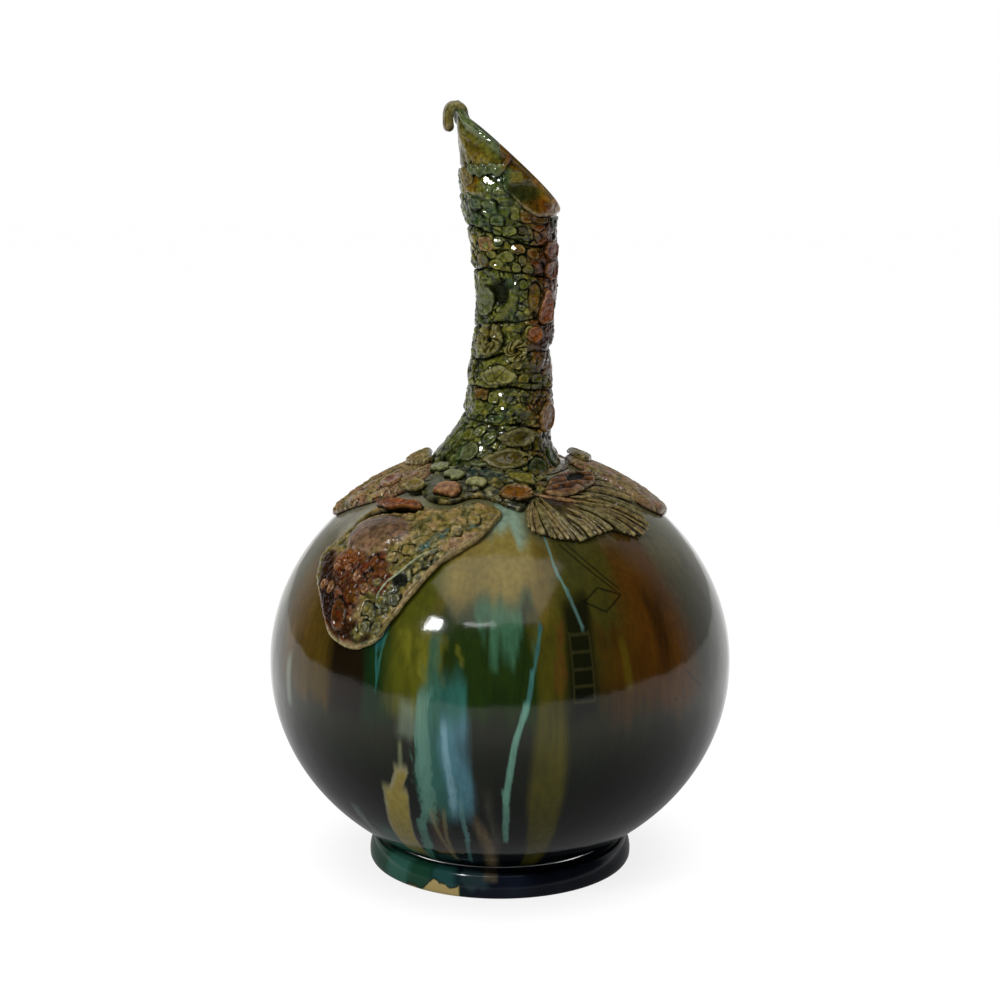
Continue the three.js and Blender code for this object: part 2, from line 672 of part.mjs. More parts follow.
// Mustard pad pressed over the leaf's lower edge
addPiece(
  'mustard_pad',
  neckPellet({ azimuth: -62, rise: 137, width: 7, height: 6, stand: 1.8 }).subtract(neckCutter),
  '#a8842c',
);

export default vase;
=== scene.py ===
import math

import bmesh
import bpy
import numpy as np
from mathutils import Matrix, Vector
from mathutils.geometry import delaunay_2d_cdt


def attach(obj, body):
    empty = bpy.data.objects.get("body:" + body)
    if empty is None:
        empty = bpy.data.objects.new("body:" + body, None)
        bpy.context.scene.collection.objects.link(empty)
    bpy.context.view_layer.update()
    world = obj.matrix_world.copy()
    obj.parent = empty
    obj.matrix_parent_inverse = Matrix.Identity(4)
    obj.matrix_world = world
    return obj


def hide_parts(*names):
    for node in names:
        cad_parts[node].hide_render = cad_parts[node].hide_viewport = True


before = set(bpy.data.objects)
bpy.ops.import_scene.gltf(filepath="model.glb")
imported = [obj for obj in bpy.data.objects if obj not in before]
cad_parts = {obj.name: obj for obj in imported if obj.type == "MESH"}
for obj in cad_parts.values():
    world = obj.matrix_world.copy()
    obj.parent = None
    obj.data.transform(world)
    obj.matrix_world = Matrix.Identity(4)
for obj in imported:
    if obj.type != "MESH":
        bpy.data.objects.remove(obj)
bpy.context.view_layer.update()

# Floor, light and camera
# A pale paper floor and a bright white surround behind the vase, with a soft panel overhead in
# front and one small lamp, as in a plain light tent that is open to a dim room at the front.


def linear(code):
    """An sRGB hex colour as linear red, green, blue and alpha."""
    parts = [int(code[i:i + 2], 16) / 255 for i in (1, 3, 5)]
    return [c / 12.92 if c <= 0.04045 else ((c + 0.055) / 1.055) ** 2.4 for c in parts] + [1.0]


def add(tree, kind, links=None, output=0, **settings):
    """Adds a node with its settings and its linked or fixed inputs, and gives one output."""
    made = tree.nodes.new(kind)
    for name, value in settings.items():
        setattr(made, name, value)
    for key, value in (links or {}).items():
        if isinstance(value, bpy.types.NodeSocket):
            tree.links.new(value, made.inputs[key])
        else:
            made.inputs[key].default_value = value
    return made.outputs[output] if made.outputs else made


def calc(tree, operation, *values, clamp=False):
    """A math node that works on numbers and sockets."""
    return add(tree, "ShaderNodeMath", dict(enumerate(values)), operation=operation,
               use_clamp=clamp)


def spread(tree, value, low, high, to_low=0.0, to_high=1.0, ease="LINEAR"):
    """A value carried over from the range low to high into another range."""
    return add(tree, "ShaderNodeMapRange", {
        "Value": value, "From Min": low, "From Max": high, "To Min": to_low, "To Max": to_high},
        interpolation_type=ease)


def noise(tree, place, scale, detail, roughness=0.5):
    """Noise of a scale. A scale of three numbers stretches it along the axes."""
    if isinstance(scale, tuple):
        place = add(tree, "ShaderNodeMapping", {"Vector": place, "Scale": scale})
        scale = 1.0
    return add(tree, "ShaderNodeTexNoise", {
        "Vector": place, "Scale": scale, "Detail": detail, "Roughness": roughness})


def new_material(name):
    """An empty material and its node tree."""
    material = bpy.data.materials.new(name)
    material.use_nodes = True
    material.node_tree.nodes.clear()
    return material, material.node_tree


def mesh_object(name, points, faces, material, values=None):
    """A smooth mesh object from points in millimetres, with a float attribute for each value."""
    mesh = bpy.data.meshes.new(name)
    mesh.from_pydata((np.asarray(points) / 1000).tolist(), [], faces)
    for key, value in (values or {}).items():
        mesh.attributes.new(key, "FLOAT", "POINT").data.foreach_set(
            "value", np.asarray(value, np.float32))
    mesh.polygons.foreach_set("use_smooth", [True] * len(mesh.polygons))
    mesh.materials.append(material)
    made = bpy.data.objects.new(name, mesh)
    bpy.context.collection.objects.link(made)
    return made


floor_paper, tree = new_material("matt_white_paper")
place = add(tree, "ShaderNodeTexCoord", output="Object")
paper = spread(tree, noise(tree, place, 900.0, 3.0), 0.0, 1.0, 0.09, 0.11)
far = add(tree, "ShaderNodeVectorMath", {0: place}, "Value", operation="LENGTH")
# the paper glows as if lit through from below; round the foot its glow is lowered as a painted
# shadow of the vase, seen by the camera and, darker and wider, in reflections: distances from
# the vase's axis in metres, and the glow there
shade = spread(tree, far, 0.062, 0.115, 0.84, 0.975, "SMOOTHSTEP")
reflected_glow_with_painted_shade = spread(tree, far, 0.08, 0.4, 0.22, 1.15, "SMOOTHSTEP")
direct = add(tree, "ShaderNodeLightPath", output="Is Camera Ray")
level = add(tree, "ShaderNodeMix", {0: direct, 2: reflected_glow_with_painted_shade, 3: shade}, data_type="FLOAT")
glow = add(tree, "ShaderNodeEmission", {"Color": linear("#ffffff"), "Strength": level})
add(tree, "ShaderNodeOutputMaterial", {"Surface": add(tree, "ShaderNodeAddShader", {
    0: add(tree, "ShaderNodeBsdfDiffuse", {"Color": paper}), 1: glow})})
floor_front, floor_side, floor_back = -1260, 3000, 6000
floor = mesh_object(
    "floor",
    [(-floor_side, floor_front, 0), (floor_side, floor_front, 0),
     (floor_side, floor_back, 0), (-floor_side, floor_back, 0)],
    [(0, 1, 2, 3)], floor_paper)

world = bpy.data.worlds.new("light_tent")
bpy.context.scene.world = world
world.use_nodes = True
tree = world.node_tree
tree.nodes.clear()
way = add(tree, "ShaderNodeSeparateXYZ", {0: add(tree, "ShaderNodeTexCoord", output="Generated")})
sides, depth = way.node.outputs["X"], way.node.outputs["Y"]
# the tent gives way to the dim room at the front, and further round on the right
opening = spread(tree, sides, -0.9, 0.9, 0.47, 0.18)
behind = spread(tree, calc(tree, "SUBTRACT", depth, opening), -0.12, 0.25, 0.045, 0.62,
                "SMOOTHSTEP")
seen = add(tree, "ShaderNodeLightPath", output="Is Camera Ray")
room = add(tree, "ShaderNodeBackground", {"Color": behind, "Strength": 1.0})
paper_white = add(tree, "ShaderNodeBackground", {"Color": linear("#ffffff"), "Strength": 1.0})
add(tree, "ShaderNodeOutputWorld", {
    "Surface": add(tree, "ShaderNodeMixShader", {"Fac": seen, 1: room, 2: paper_white})})


def lamp(name, place, target, width, height, watts):
    """A rectangular area lamp at a place in metres, facing a target."""
    data = bpy.data.lights.new(name, "AREA")
    data.shape = "RECTANGLE"
    data.size, data.size_y = width, height
    data.energy = watts
    made = bpy.data.objects.new(name, data)
    made.location = place
    aim = np.array(target, float) - np.array(place, float)
    made.rotation_mode = "QUATERNION"
    made.rotation_quaternion = Vector(aim).to_track_quat("-Z", "Y")
    bpy.context.collection.objects.link(made)
    return made


# the lamp's place and target in metres, its width and height, and its power in watts
lamp("overhead_panel", (-0.075, -1.025, 1.6), (-0.075, -1.025, 0), 1.55, 1.45, 17)
lamp("edge_strip", (-0.38, -1.79, 1.6), (-0.38, -1.79, 0), 0.55, 0.012, 3.5)
key_lamp = lamp("small_key", (-0.735, -1.0, 0.99), (0, 0, 0.15), 0.16, 0.14, 9)

camera_place = (0, -0.98, 0.376)
camera_tilt = 11.07  # degrees down from level
film_width, lens_length = 36, 72
camera_data = bpy.data.cameras.new("camera")
camera_data.sensor_width = film_width
camera_data.lens = lens_length
camera = bpy.data.objects.new("camera", camera_data)
camera.location = camera_place
camera.rotation_euler = (math.radians(90 - camera_tilt), 0, 0)
bpy.context.collection.objects.link(camera)
bpy.context.scene.camera = camera
bpy.context.scene.view_settings.view_transform = "Standard"

# Foot ring
# The turned foot of the thrown globe. A dark blue-green glaze has run over it and pooled in the
# crease under the globe; a patch of the buff clay is left bare at the front edge.


def tidy_mesh(made):
    """Merges doubled points and turns the faces outwards."""
    work = bmesh.new()
    work.from_mesh(made.data)
    bmesh.ops.remove_doubles(work, verts=work.verts, dist=1e-6)
    bmesh.ops.recalc_face_normals(work, faces=work.faces)
    work.to_mesh(made.data)
    work.free()


def loop_solid(name, loops, material, values=None, ends="joined"):
    """A closed solid from loops of points set side by side, each loop closed on itself. Its two
    end loops are joined to each other, or each is zipped shut, or each is already a point."""
    loops = np.asarray(loops)
    rows, columns = loops.shape[:2]
    row, column = np.meshgrid(np.arange(rows if ends == "joined" else rows - 1),
                              np.arange(columns), indexing="ij")
    next_row, next_column = (row + 1) % rows, (column + 1) % columns
    faces = np.stack([row * columns + column, row * columns + next_column,
                      next_row * columns + next_column, next_row * columns + column], -1)
    faces = faces.reshape(-1, 4).tolist()
    if ends == "zipped":
        for first in (0, (rows - 1) * columns):
            faces += [(first + c, first + c + 1, first + columns - 2 - c, first + columns - 1 - c)
                      for c in range(columns // 2 - 1)]
    flat = {key: np.asarray(value).reshape(-1) for key, value in (values or {}).items()}
    made = mesh_object(name, loops.reshape(-1, 3), faces, material, flat)
    tidy_mesh(made)
    return made


def rides(piece, slot, *nodes):
    """The piece rides on the one body and stands for its CAD nodes, which are hidden; the slot is
    not used.
    """
    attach(piece, "root")
    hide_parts(*nodes)


def blend(tree, amount, colour, other):
    """A colour blended towards another by an amount from 0 to 1."""
    return add(tree, "ShaderNodeMix", {0: amount, 6: colour, 7: other}, output=2,
               data_type="RGBA")


def ramped(tree, value, stops):
    """A colour read from a ramp of positions and hex colours."""
    shade = add(tree, "ShaderNodeValToRGB", {"Fac": value})
    ramp = shade.node.color_ramp
    while len(ramp.elements) < len(stops):
        ramp.elements.new(0.5)
    for element, (position, code) in zip(ramp.elements, stops):
        element.position, element.color = position, linear(code)
    return shade


def new_group(name, kind, inputs, output):
    """A node group with named and typed sockets, and what its input node gives."""
    group = bpy.data.node_groups.new(name, kind)
    for way, sockets in (("INPUT", inputs), ("OUTPUT", [output])):
        for label, socket in sockets:
            group.interface.new_socket(label, in_out=way, socket_type="NodeSocket" + socket)
    return group, add(group, "NodeGroupInput").node.outputs


def glossy(tree, **links):
    """The shader of a glaze: a clear glossy coat of glass on clay."""
    shader = add(tree, "ShaderNodeBsdfPrincipled", {
        key.replace("_", " "): value for key, value in links.items()})
    add(tree, "ShaderNodeOutputMaterial", {"Surface": shader})


def round_the_vase(tree, place):
    """Azimuth in degrees from the front and height in millimetres of object coordinates."""
    axes = add(tree, "ShaderNodeSeparateXYZ", {0: place}).node.outputs
    turn = calc(tree, "ARCTAN2", axes["X"], calc(tree, "MULTIPLY", axes["Y"], -1.0))
    return (calc(tree, "MULTIPLY", turn, 180 / math.pi),
            calc(tree, "MULTIPLY", axes["Z"], 1000.0))


run_sizes = ("Top azimuth", "Foot azimuth", "Half width", "Top", "Foot", "Softness",
             "End softness", "Raggedness")


def glaze_run_group():
    """Mask of one run of glaze, from its top to its foot, with frayed edges."""
    names = ("Azimuth", "Height", "Fray") + run_sizes
    group, given = new_group("glaze_run", "ShaderNodeTree", [(name, "Float") for name in names],
                             ("Mask", "Float"))
    ragged = calc(group, "MULTIPLY", given["Fray"], given["Raggedness"])
    centre = spread(group, given["Height"], given["Foot"], given["Top"], given["Foot azimuth"],
                    given["Top azimuth"])
    aside = calc(group, "ABSOLUTE", calc(group, "SUBTRACT", given["Azimuth"], centre))
    past = calc(group, "ADD", calc(group, "SUBTRACT", aside, given["Half width"]), ragged)
    side = spread(group, past, 0.0, given["Softness"], 1.0, 0.0, "SMOOTHSTEP")
    level = calc(group, "MULTIPLY_ADD", ragged, 3.0, given["Height"])
    above = calc(group, "ADD", given["Top"], given["End softness"])
    below = calc(group, "SUBTRACT", given["Foot"], given["End softness"])
    top = spread(group, level, given["Top"], above, 1.0, 0.0, "SMOOTHSTEP")
    foot = spread(group, level, below, given["Foot"], 0.0, 1.0, "SMOOTHSTEP")
    mask = calc(group, "MULTIPLY", calc(group, "MULTIPLY", side, top), foot)
    add(group, "NodeGroupOutput", {0: mask})
    return group


def run_down(tree, colour, runs, azimuth, height, fray):
    """Lays runs of glaze over a colour. A run gives its name, colour, azimuth at the top and
    foot, half width, top, foot, softness, end softness, raggedness and strength."""
    for name, code, *sizes, strength in runs:
        mask = add(tree, "ShaderNodeGroup", {
            "Azimuth": azimuth, "Height": height, "Fray": fray, **dict(zip(run_sizes, sizes))},
            node_tree=run_group)
        mask.node.label = name
        colour = blend(tree, calc(tree, "MULTIPLY", mask, strength), colour, linear(code))
    return colour


run_group = glaze_run_group()
glaze_ior = 1.3  # on the smooth globe and foot, where a film of glaze reflects little
globe_radius, globe_half_height = 115.8, 104.0
globe_centre = 103.05
crown = globe_centre + globe_half_height
foot_outer, foot_width, foot_band, foot_taper = 66.8, 12.8, 12.0, 1.8
foot_glaze, tree = new_material("dark_blue_green_foot_glaze")
place = add(tree, "ShaderNodeTexCoord", output="Object")
azimuth, height = round_the_vase(tree, place)
runs = noise(tree, place, (60, 60, 18), 4.0)
colour = ramped(tree, runs, [(0.35, "#0b0e1a"), (0.75, "#151e2c")])
fray = calc(tree, "SUBTRACT", runs, 0.5)
colour = run_down(tree, colour, [
    ("teal_over_left", "#1e4a36", -56, -60, 26, 30, -4, 14, 6, 10, 0.9),
    ("drip_to_foot", "#3a6e60", -46, -50, 5, 30, 4, 5, 5, 10, 0.7),
    ("navy_tongue", "#0a1c24", -22, -20, 7, 30, -4, 5, 5, 8, 0.8),
    ("teal_tongue", "#2c5c58", -27, -24, 3, 30, 6, 4, 5, 8, 0.7),
    ("grey_tongue", "#34484a", -12, -11, 4, 30, 7, 4, 4, 8, 0.6),
    ("tan_tongue", "#5c5442", -4, -4, 2, 30, 10, 2, 3, 6, 0.7),
    ("rim_of_bare_patch", "#0f2418", -30.5, -30, 13.2, 4.6, -4, 1.2, 1.2, 8, 0.9),
    ("bare_buff_clay", "#bda76c", -30.5, -30, 11.8, 3.6, -4, 1.2, 1.2, 8, 1.0)],
    azimuth, height, fray)
glossy(tree, Base_Color=colour, Roughness=0.14, IOR=glaze_ior)
foot_inner = foot_outer - foot_width


def under_globe(radius):
    """Height of the globe's underside at a radius."""
    return globe_centre - globe_half_height * math.sqrt(1 - (radius / globe_radius) ** 2)


crease_radius = foot_outer - foot_taper - 3.0
foot_profile = [
    (foot_inner, 1.2), (foot_inner + 0.4, 0.4), (foot_inner + 1.2, 0),
    (foot_outer - 1.4, 0), (foot_outer - 0.5, 0.35), (foot_outer - 0.1, 1.1), (foot_outer, 2.2),
    (foot_outer, 4), (foot_outer - 0.25, 6), (foot_outer - 0.8, 8), (foot_outer - 1.4, 10),
    (foot_outer - 1.9, foot_band - 0.8), (foot_outer - 2.6, foot_band - 0.1),
    (foot_outer - 3.6, foot_band + 0.1), (crease_radius - 0.2, foot_band - 0.2),
    (crease_radius - 0.8, under_globe(crease_radius - 0.8) - 0.5),
    (foot_inner + 4, under_globe(foot_inner + 4) - 0.5),
    (foot_inner, under_globe(foot_inner) - 0.5)]
radius, level = np.array(foot_profile).T[:, :, None]
foot_sides = 160
turn = np.linspace(0, 2 * math.pi, foot_sides, endpoint=False)
foot = loop_solid("foot", np.stack([radius * np.sin(turn), -radius * np.cos(turn),
                                    level + 0 * turn], axis=-1), foot_glaze)
rides(foot, "foot_glaze", "foot_ring")

# Globe
# The thrown body, two bowls luted together at the widest line, hollow, with a flat floor and the
# throat hole. Layers of fluid glaze have run down it: olive and amber above, black-green and navy
# below, with turquoise, mustard and tan drips, a few scratched marks and one firing crack.

globe_wall, floor_top, throat_radius = 6.0, 16.0, 18.0
foot_height = 8.0  # where the globe's outside meets the foot's recess


def meridian(latitude, offset=0.0):
    """Radius and height of the globe's outline at a latitude in degrees, moved outwards."""
    across, up = np.cos(np.radians(latitude)), np.sin(np.radians(latitude))
    normal = np.hypot(globe_half_height * across, globe_radius * up)
    return (globe_radius * across + offset * globe_half_height * across / normal,
            globe_centre + globe_half_height * up + offset * globe_radius * up / normal)


def scratch_group():
    """Mask of one straight scratch between two points of the unrolled globe."""
    group, given = new_group("scratch", "ShaderNodeTree", [
        ("Place", "Vector"), ("Start", "Vector"), ("End", "Vector"), ("Width", "Float")],
        ("Mask", "Float"))

    def vector(operation, first, second, output="Value"):
        """A vector math node of the group, which gives a number unless told otherwise."""
        return add(group, "ShaderNodeVectorMath", {0: first, 1: second}, output,
                   operation=operation)

    along = vector("SUBTRACT", given["End"], given["Start"], "Vector")
    apart = vector("SUBTRACT", given["Place"], given["Start"], "Vector")
    share = calc(group, "DIVIDE", vector("DOT_PRODUCT", apart, along),
                 vector("DOT_PRODUCT", along, along), clamp=True)
    foot = add(group, "ShaderNodeVectorMath", {0: along, "Scale": share}, operation="SCALE")
    distance = vector("DISTANCE", apart, foot)
    add(group, "NodeGroupOutput", {
        0: spread(group, distance, 0.0, given["Width"], 1.0, 0.0, "SMOOTHSTEP")})
    return group


def bumped(tree, height, strength, distance, **under):
    """A normal bumped by a height, over another normal where one is given."""
    return add(tree, "ShaderNodeBump", {
        "Height": height, "Strength": strength, "Distance": distance, **under})


globe_glaze, tree = new_material("running_glazes_on_stoneware")
place = add(tree, "ShaderNodeTexCoord", output="Object")
true_azimuth, height = round_the_vase(tree, place)
# slow sideways sway of every run, and the fine threads that frayed glaze leaves
sway = calc(tree, "SUBTRACT", noise(tree, place, (14, 14, 16), 2.0), 0.5)
azimuth = calc(tree, "MULTIPLY_ADD", sway, 5.0, true_azimuth)
threads = noise(tree, place, (420, 420, 22), 3.0, 0.6)
fray = calc(tree, "SUBTRACT", threads, 0.5)
clouds = noise(tree, place, (22, 22, 9), 4.0)

zones = add(tree, "ShaderNodeAttribute", output="Color", attribute_name="zones")
colour = run_down(tree, zones, [
    ("ochre_right_thread", "#5a500f", 30.6, 30.8, 0.4, 134, 119, 1.4, 8, 2, 0.5),
    ("orange_scuff", "#5a3814", 14.4, 14.0, 0.5, 143, 120, 1, 8, 6, 0.5),
    ("curtain_neck", "#2f5c4c", -15.4, -14.6, 0.7, 138, 106, 1.2, 10, 3, 0.6),
    ("curtain_pale_edge", "#5d8777", -17.8, -18.2, 0.9, 112, 57, 1.6, 12, 6, 0.7),
    ("curtain_blue_thread", "#7ba2ac", -12.4, -12.0, 0.35, 98, 62, 0.8, 10, 3, 0.6),
    ("drip_left_top", "#527c6e", -18.6, -21.8, 0.6, 60, 47, 0.9, 4, 2, 0.8),
    ("drip_left", "#4a776a", -21.8, -23.6, 0.8, 49, 32, 1.0, 3, 2, 0.8),
    ("drip_left_foot", "#437668", -23.6, -29, 0.9, 34, 18, 1.2, 4, 3, 0.85),
    ("drip_middle", "#54807c", -10.2, -9.6, 0.2, 62, 40, 0.8, 4, 2, 0.7),
    ("drip_middle_foot", "#4c7874", -9.6, -11.4, 0.3, 41, 22, 0.8, 4, 2, 0.7),
    ("tan_feather_left", "#847a54", -18.0, -17.2, 0.2, 53, 26, 0.7, 7, 2, 0.45),
    ("tan_feather_right", "#847a54", -14.8, -16.6, 0.2, 54, 25, 0.7, 7, 2, 0.45),
    ("mustard_stem", "#727a58", -23.2, -23.8, 0.15, 90, 74, 0.7, 6, 0.6, 0.6),
    ("mustard_outline", "#8f8a68", -23.6, -28.4, 1.4, 77, 58, 0.8, 6, 0.8, 0.8),
    ("mustard_outline_low", "#8f8a68", -26.4, -31.6, 3.2, 64, 26, 0.9, 8, 0.9, 0.8),
    ("mustard_top", "#857639", -23.6, -28.2, 0.9, 75, 57, 0.7, 5, 0.8, 0.95),
    ("mustard_patch", "#877a38", -26.2, -31.4, 2.8, 63, 27, 0.7, 7, 0.9, 0.95),
    ("turquoise_thread", "#34605a", 9.8, 7.4, 0.15, 145, 124, 0.6, 5, 1, 0.9),
    ("turquoise_thread_middle", "#3b6a62", 7.4, 6.1, 0.25, 126, 108, 0.6, 4, 1, 0.9),
    ("turquoise_thread_low", "#618f7d", 6.1, 1.4, 0.4, 111, 66, 0.7, 5, 1, 0.9),
    ("turquoise_thread_foot", "#5a8676", 1.4, 1.9, 0.5, 68, 41, 0.7, 5, 1, 0.85),
    ("pale_thread_top", "#5f8076", 15.6, 16.3, 0.15, 180, 167, 0.5, 3, 1, 0.85),
    ("pale_thread_bend", "#5f8076", 16.3, 18.1, 0.2, 168, 158.5, 0.5, 2, 1, 0.85),
    ("pale_thread_foot", "#4c6c64", 18.1, 20.3, 0.2, 159, 145, 0.5, 3, 1, 0.8),
    ("wing_drip", "#1d5a5c", -30.6, -30.2, 0.6, 146, 139, 1, 8, 2, 0.8),
    ("wing_drip_thread", "#28605a", -31.2, -29.8, 0.1, 142, 120, 0.4, 8, 1, 0.8),
    ("wing_drip_thread_right", "#306656", -28.8, -29.4, 0.1, 144, 126, 0.4, 8, 1, 0.7),
    ("pale_streak_left", "#8b9788", -61.4, -61, 0.4, 116, 100, 1.6, 8, 3, 0.5),
    ("drip_far_left", "#66786e", -44, -44.6, 0.5, 46, 33, 1.8, 7, 3, 0.6)],
    azimuth, height, fray)

# the scratches are drawn on the unrolled globe, as azimuths and heights with a width in mm
mm_per_degree = 1.9
unrolled = add(tree, "ShaderNodeCombineXYZ", {
    0: calc(tree, "MULTIPLY", true_azimuth, mm_per_degree), 1: height})
scratch = scratch_group()
diamond = [(22.5, 155), (27.5, 160), (34, 156), (28, 150)]
crack = [(50, 117), (52.5, 112), (55, 108), (57, 103), (60, 97), (61.5, 92), (63, 88)]
cuts = [(a, b, 0.9) for a, b in zip(diamond, diamond[1:] + diamond[:1])]
cuts += [((20, 178), (33, 157.5), 0.8), ((22.5, 178), (34, 158.5), 0.8)]
cuts += [(a, b, 1.1) for a, b in zip(crack, crack[1:])]
cuts += [((66, 160), (67.5, 158.5), 1.6), ((45, 106), (45.4, 105.4), 1.5)]
# rungs of a ladder pressed down the dark band, where the glaze is thin
rungs = [((17.3, z), (21.7, z), 1.3) for z in (142, 134.5, 127, 119.5, 112.5)]
rungs += [((x, 143), (x, 112), 0.8) for x in (17.0, 22.0)]
for strokes, code, strength in ((cuts, "#0a0d04", 0.75), (rungs, "#4c4826", 0.3)):
    drawn = 0.0
    for start, end, width in strokes:
        line = add(tree, "ShaderNodeGroup", {
            "Place": unrolled, "Start": (start[0] * mm_per_degree, start[1], 0),
            "End": (end[0] * mm_per_degree, end[1], 0), "Width": width}, node_tree=scratch)
        drawn = calc(tree, "MAXIMUM", drawn, line)
    colour = blend(tree, calc(tree, "MULTIPLY", drawn, strength), colour, linear(code))
# the threads show as faint darker lines wherever the glaze has run
colour = blend(tree, spread(tree, threads, 0.3, 0.62, 0.3, 0.0), colour, linear("#06090a"))
waves, pits = noise(tree, place, 38.0, 2.0), noise(tree, place, 700.0, 2.0)
skin = bumped(tree, pits, 0.05, 0.0004, Normal=bumped(tree, waves, 0.12, 0.004))
gloss = spread(tree, clouds, 0.3, 0.7, 0.06, 0.12)
glossy(tree, Base_Color=colour, Roughness=gloss, IOR=glaze_ior, Normal=skin)


def end_group(group, shape, material):
    """Ends a Geometry Nodes tree: smooth shading, real instances and the piece's material."""
    shape = add(group, "GeometryNodeSetShadeSmooth", {0: shape})
    shape = add(group, "GeometryNodeRealizeInstances", {0: shape})
    shape = add(group, "GeometryNodeSetMaterial", {0: shape, "Material": material})
    add(group, "NodeGroupOutput", {0: shape})
    return group


def turned_shell_group():
    """A hollow ellipsoid turned on the wheel: flat floor below and a round hole on top."""
    lengths = [(name, "Float") for name in (
        "Radius", "Half height", "Centre height", "Wall", "Foot height", "Floor height",
        "Throat latitude")]
    group, given = new_group("turned_shell", "GeometryNodeTree", lengths + [
        ("Sides", "Int"), ("Rows", "Int"), ("Material", "Material")], ("Geometry", "Geometry"))
    grid = add(group, "GeometryNodeMeshGrid", {
        "Size X": 1.0, "Size Y": 1.0, "Vertices X": given["Sides"], "Vertices Y": given["Rows"]})
    at = add(group, "ShaderNodeSeparateXYZ", {0: add(group, "GeometryNodeInputPosition")})
    turn = calc(group, "MULTIPLY", at, 2 * math.pi)
    across = at.node.outputs["Y"]
    inside = calc(group, "GREATER_THAN", across, 0.0)
    share = calc(group, "SUBTRACT", 1.0, calc(
        group, "MULTIPLY", calc(group, "ABSOLUTE", across), 2.0))
    latitude = spread(group, share, 0.0, 1.0, -math.pi / 2, given["Throat latitude"])
    sunk = calc(group, "MULTIPLY", inside, given["Wall"])
    radius = calc(group, "MULTIPLY", calc(group, "SUBTRACT", given["Radius"], sunk),
                  calc(group, "COSINE", latitude))
    level = calc(group, "MULTIPLY_ADD", calc(group, "SUBTRACT", given["Half height"], sunk),
                 calc(group, "SINE", latitude), given["Centre height"])
    lowest = spread(group, inside, 0.0, 1.0, given["Foot height"], given["Floor height"])
    place = add(group, "ShaderNodeCombineXYZ", {
        0: calc(group, "MULTIPLY", radius, calc(group, "SINE", turn)),
        1: calc(group, "MULTIPLY", radius, calc(group, "COSINE", turn)),
        2: calc(group, "MAXIMUM", level, lowest)})
    shell = add(group, "GeometryNodeSetPosition", {0: grid, "Position": place})
    shell = add(group, "GeometryNodeMergeByDistance", {0: shell, "Distance": 1e-6})
    return end_group(group, shell, given["Material"])


def grown(name, group, sizes, base=None):
    """The plain mesh object that a Geometry Nodes tree makes from its named sizes."""
    source = bpy.data.objects.new(name + "_source", base or bpy.data.meshes.new(name + "_base"))
    bpy.context.collection.objects.link(source)
    modifier = source.modifiers.new("shape", "NODES")
    modifier.node_group = group
    for item in group.interface.items_tree:
        if item.in_out == "INPUT" and item.name in sizes:
            modifier[item.identifier] = sizes[item.name]
    bpy.context.view_layer.update()
    evaluated = source.evaluated_get(bpy.context.evaluated_depsgraph_get())
    mesh = bpy.data.meshes.new_from_object(evaluated)
    mesh.name = name
    source.modifiers.clear()
    bpy.data.objects.remove(source)
    made = bpy.data.objects.new(name, mesh)
    bpy.context.collection.objects.link(made)
    return made


def smooth(value, low, high):
    """Smooth step from 0 at low to 1 at high; low may be the larger."""
    t = np.clip((value - low) / (high - low), 0, 1)
    return t * t * (3 - 2 * t)


hash_steps = (374761393, 668265263, 974711)  # large numbers without common factors
hash_stir = 1274126177
word, fraction = 0xFFFFFFFF, 0xFFFFFF


def hashed(i, j, seed):
    """Fixed random numbers from 0 to 1 for whole numbers i and j."""
    n = (i.astype(np.int64) * hash_steps[0] + j.astype(np.int64) * hash_steps[1]
         + seed * hash_steps[2]) & word
    n = ((n ^ (n >> 13)) * hash_stir) & word
    return ((n ^ (n >> 16)) & fraction) / (fraction + 1)


def cloud(x, y, size, seed, turns=None):
    """Smooth random values from 0 to 1, with lumps of a size in millimetres."""
    gx, gy = np.floor(x / size), np.floor(y / size)
    fx, fy = smooth(x / size - gx, 0, 1), smooth(y / size - gy, 0, 1)
    corner = [[hashed((gx + dx) % turns if turns else gx + dx, gy + dy, seed) for dx in (0, 1)]
              for dy in (0, 1)]
    return ((corner[0][0] * (1 - fx) + corner[0][1] * fx) * (1 - fy)
            + (corner[1][0] * (1 - fx) + corner[1][1] * fx) * fy)


globe = grown("globe", turned_shell_group(), {
    "Radius": globe_radius / 1000, "Half height": globe_half_height / 1000,
    "Centre height": globe_centre / 1000, "Wall": globe_wall / 1000,
    "Foot height": foot_height / 1000, "Floor height": floor_top / 1000,
    "Throat latitude": math.acos(throat_radius / globe_radius), "Sides": 361, "Rows": 261,
    "Material": globe_glaze})
tidy_mesh(globe)
# the wide zones of glaze, one colour for each point of the mesh
place = np.empty(len(globe.data.vertices) * 3)
globe.data.vertices.foreach_get("co", place)
x, y, z = place.reshape(-1, 3).T * 1000
turn = np.degrees(np.arctan2(x, -y))
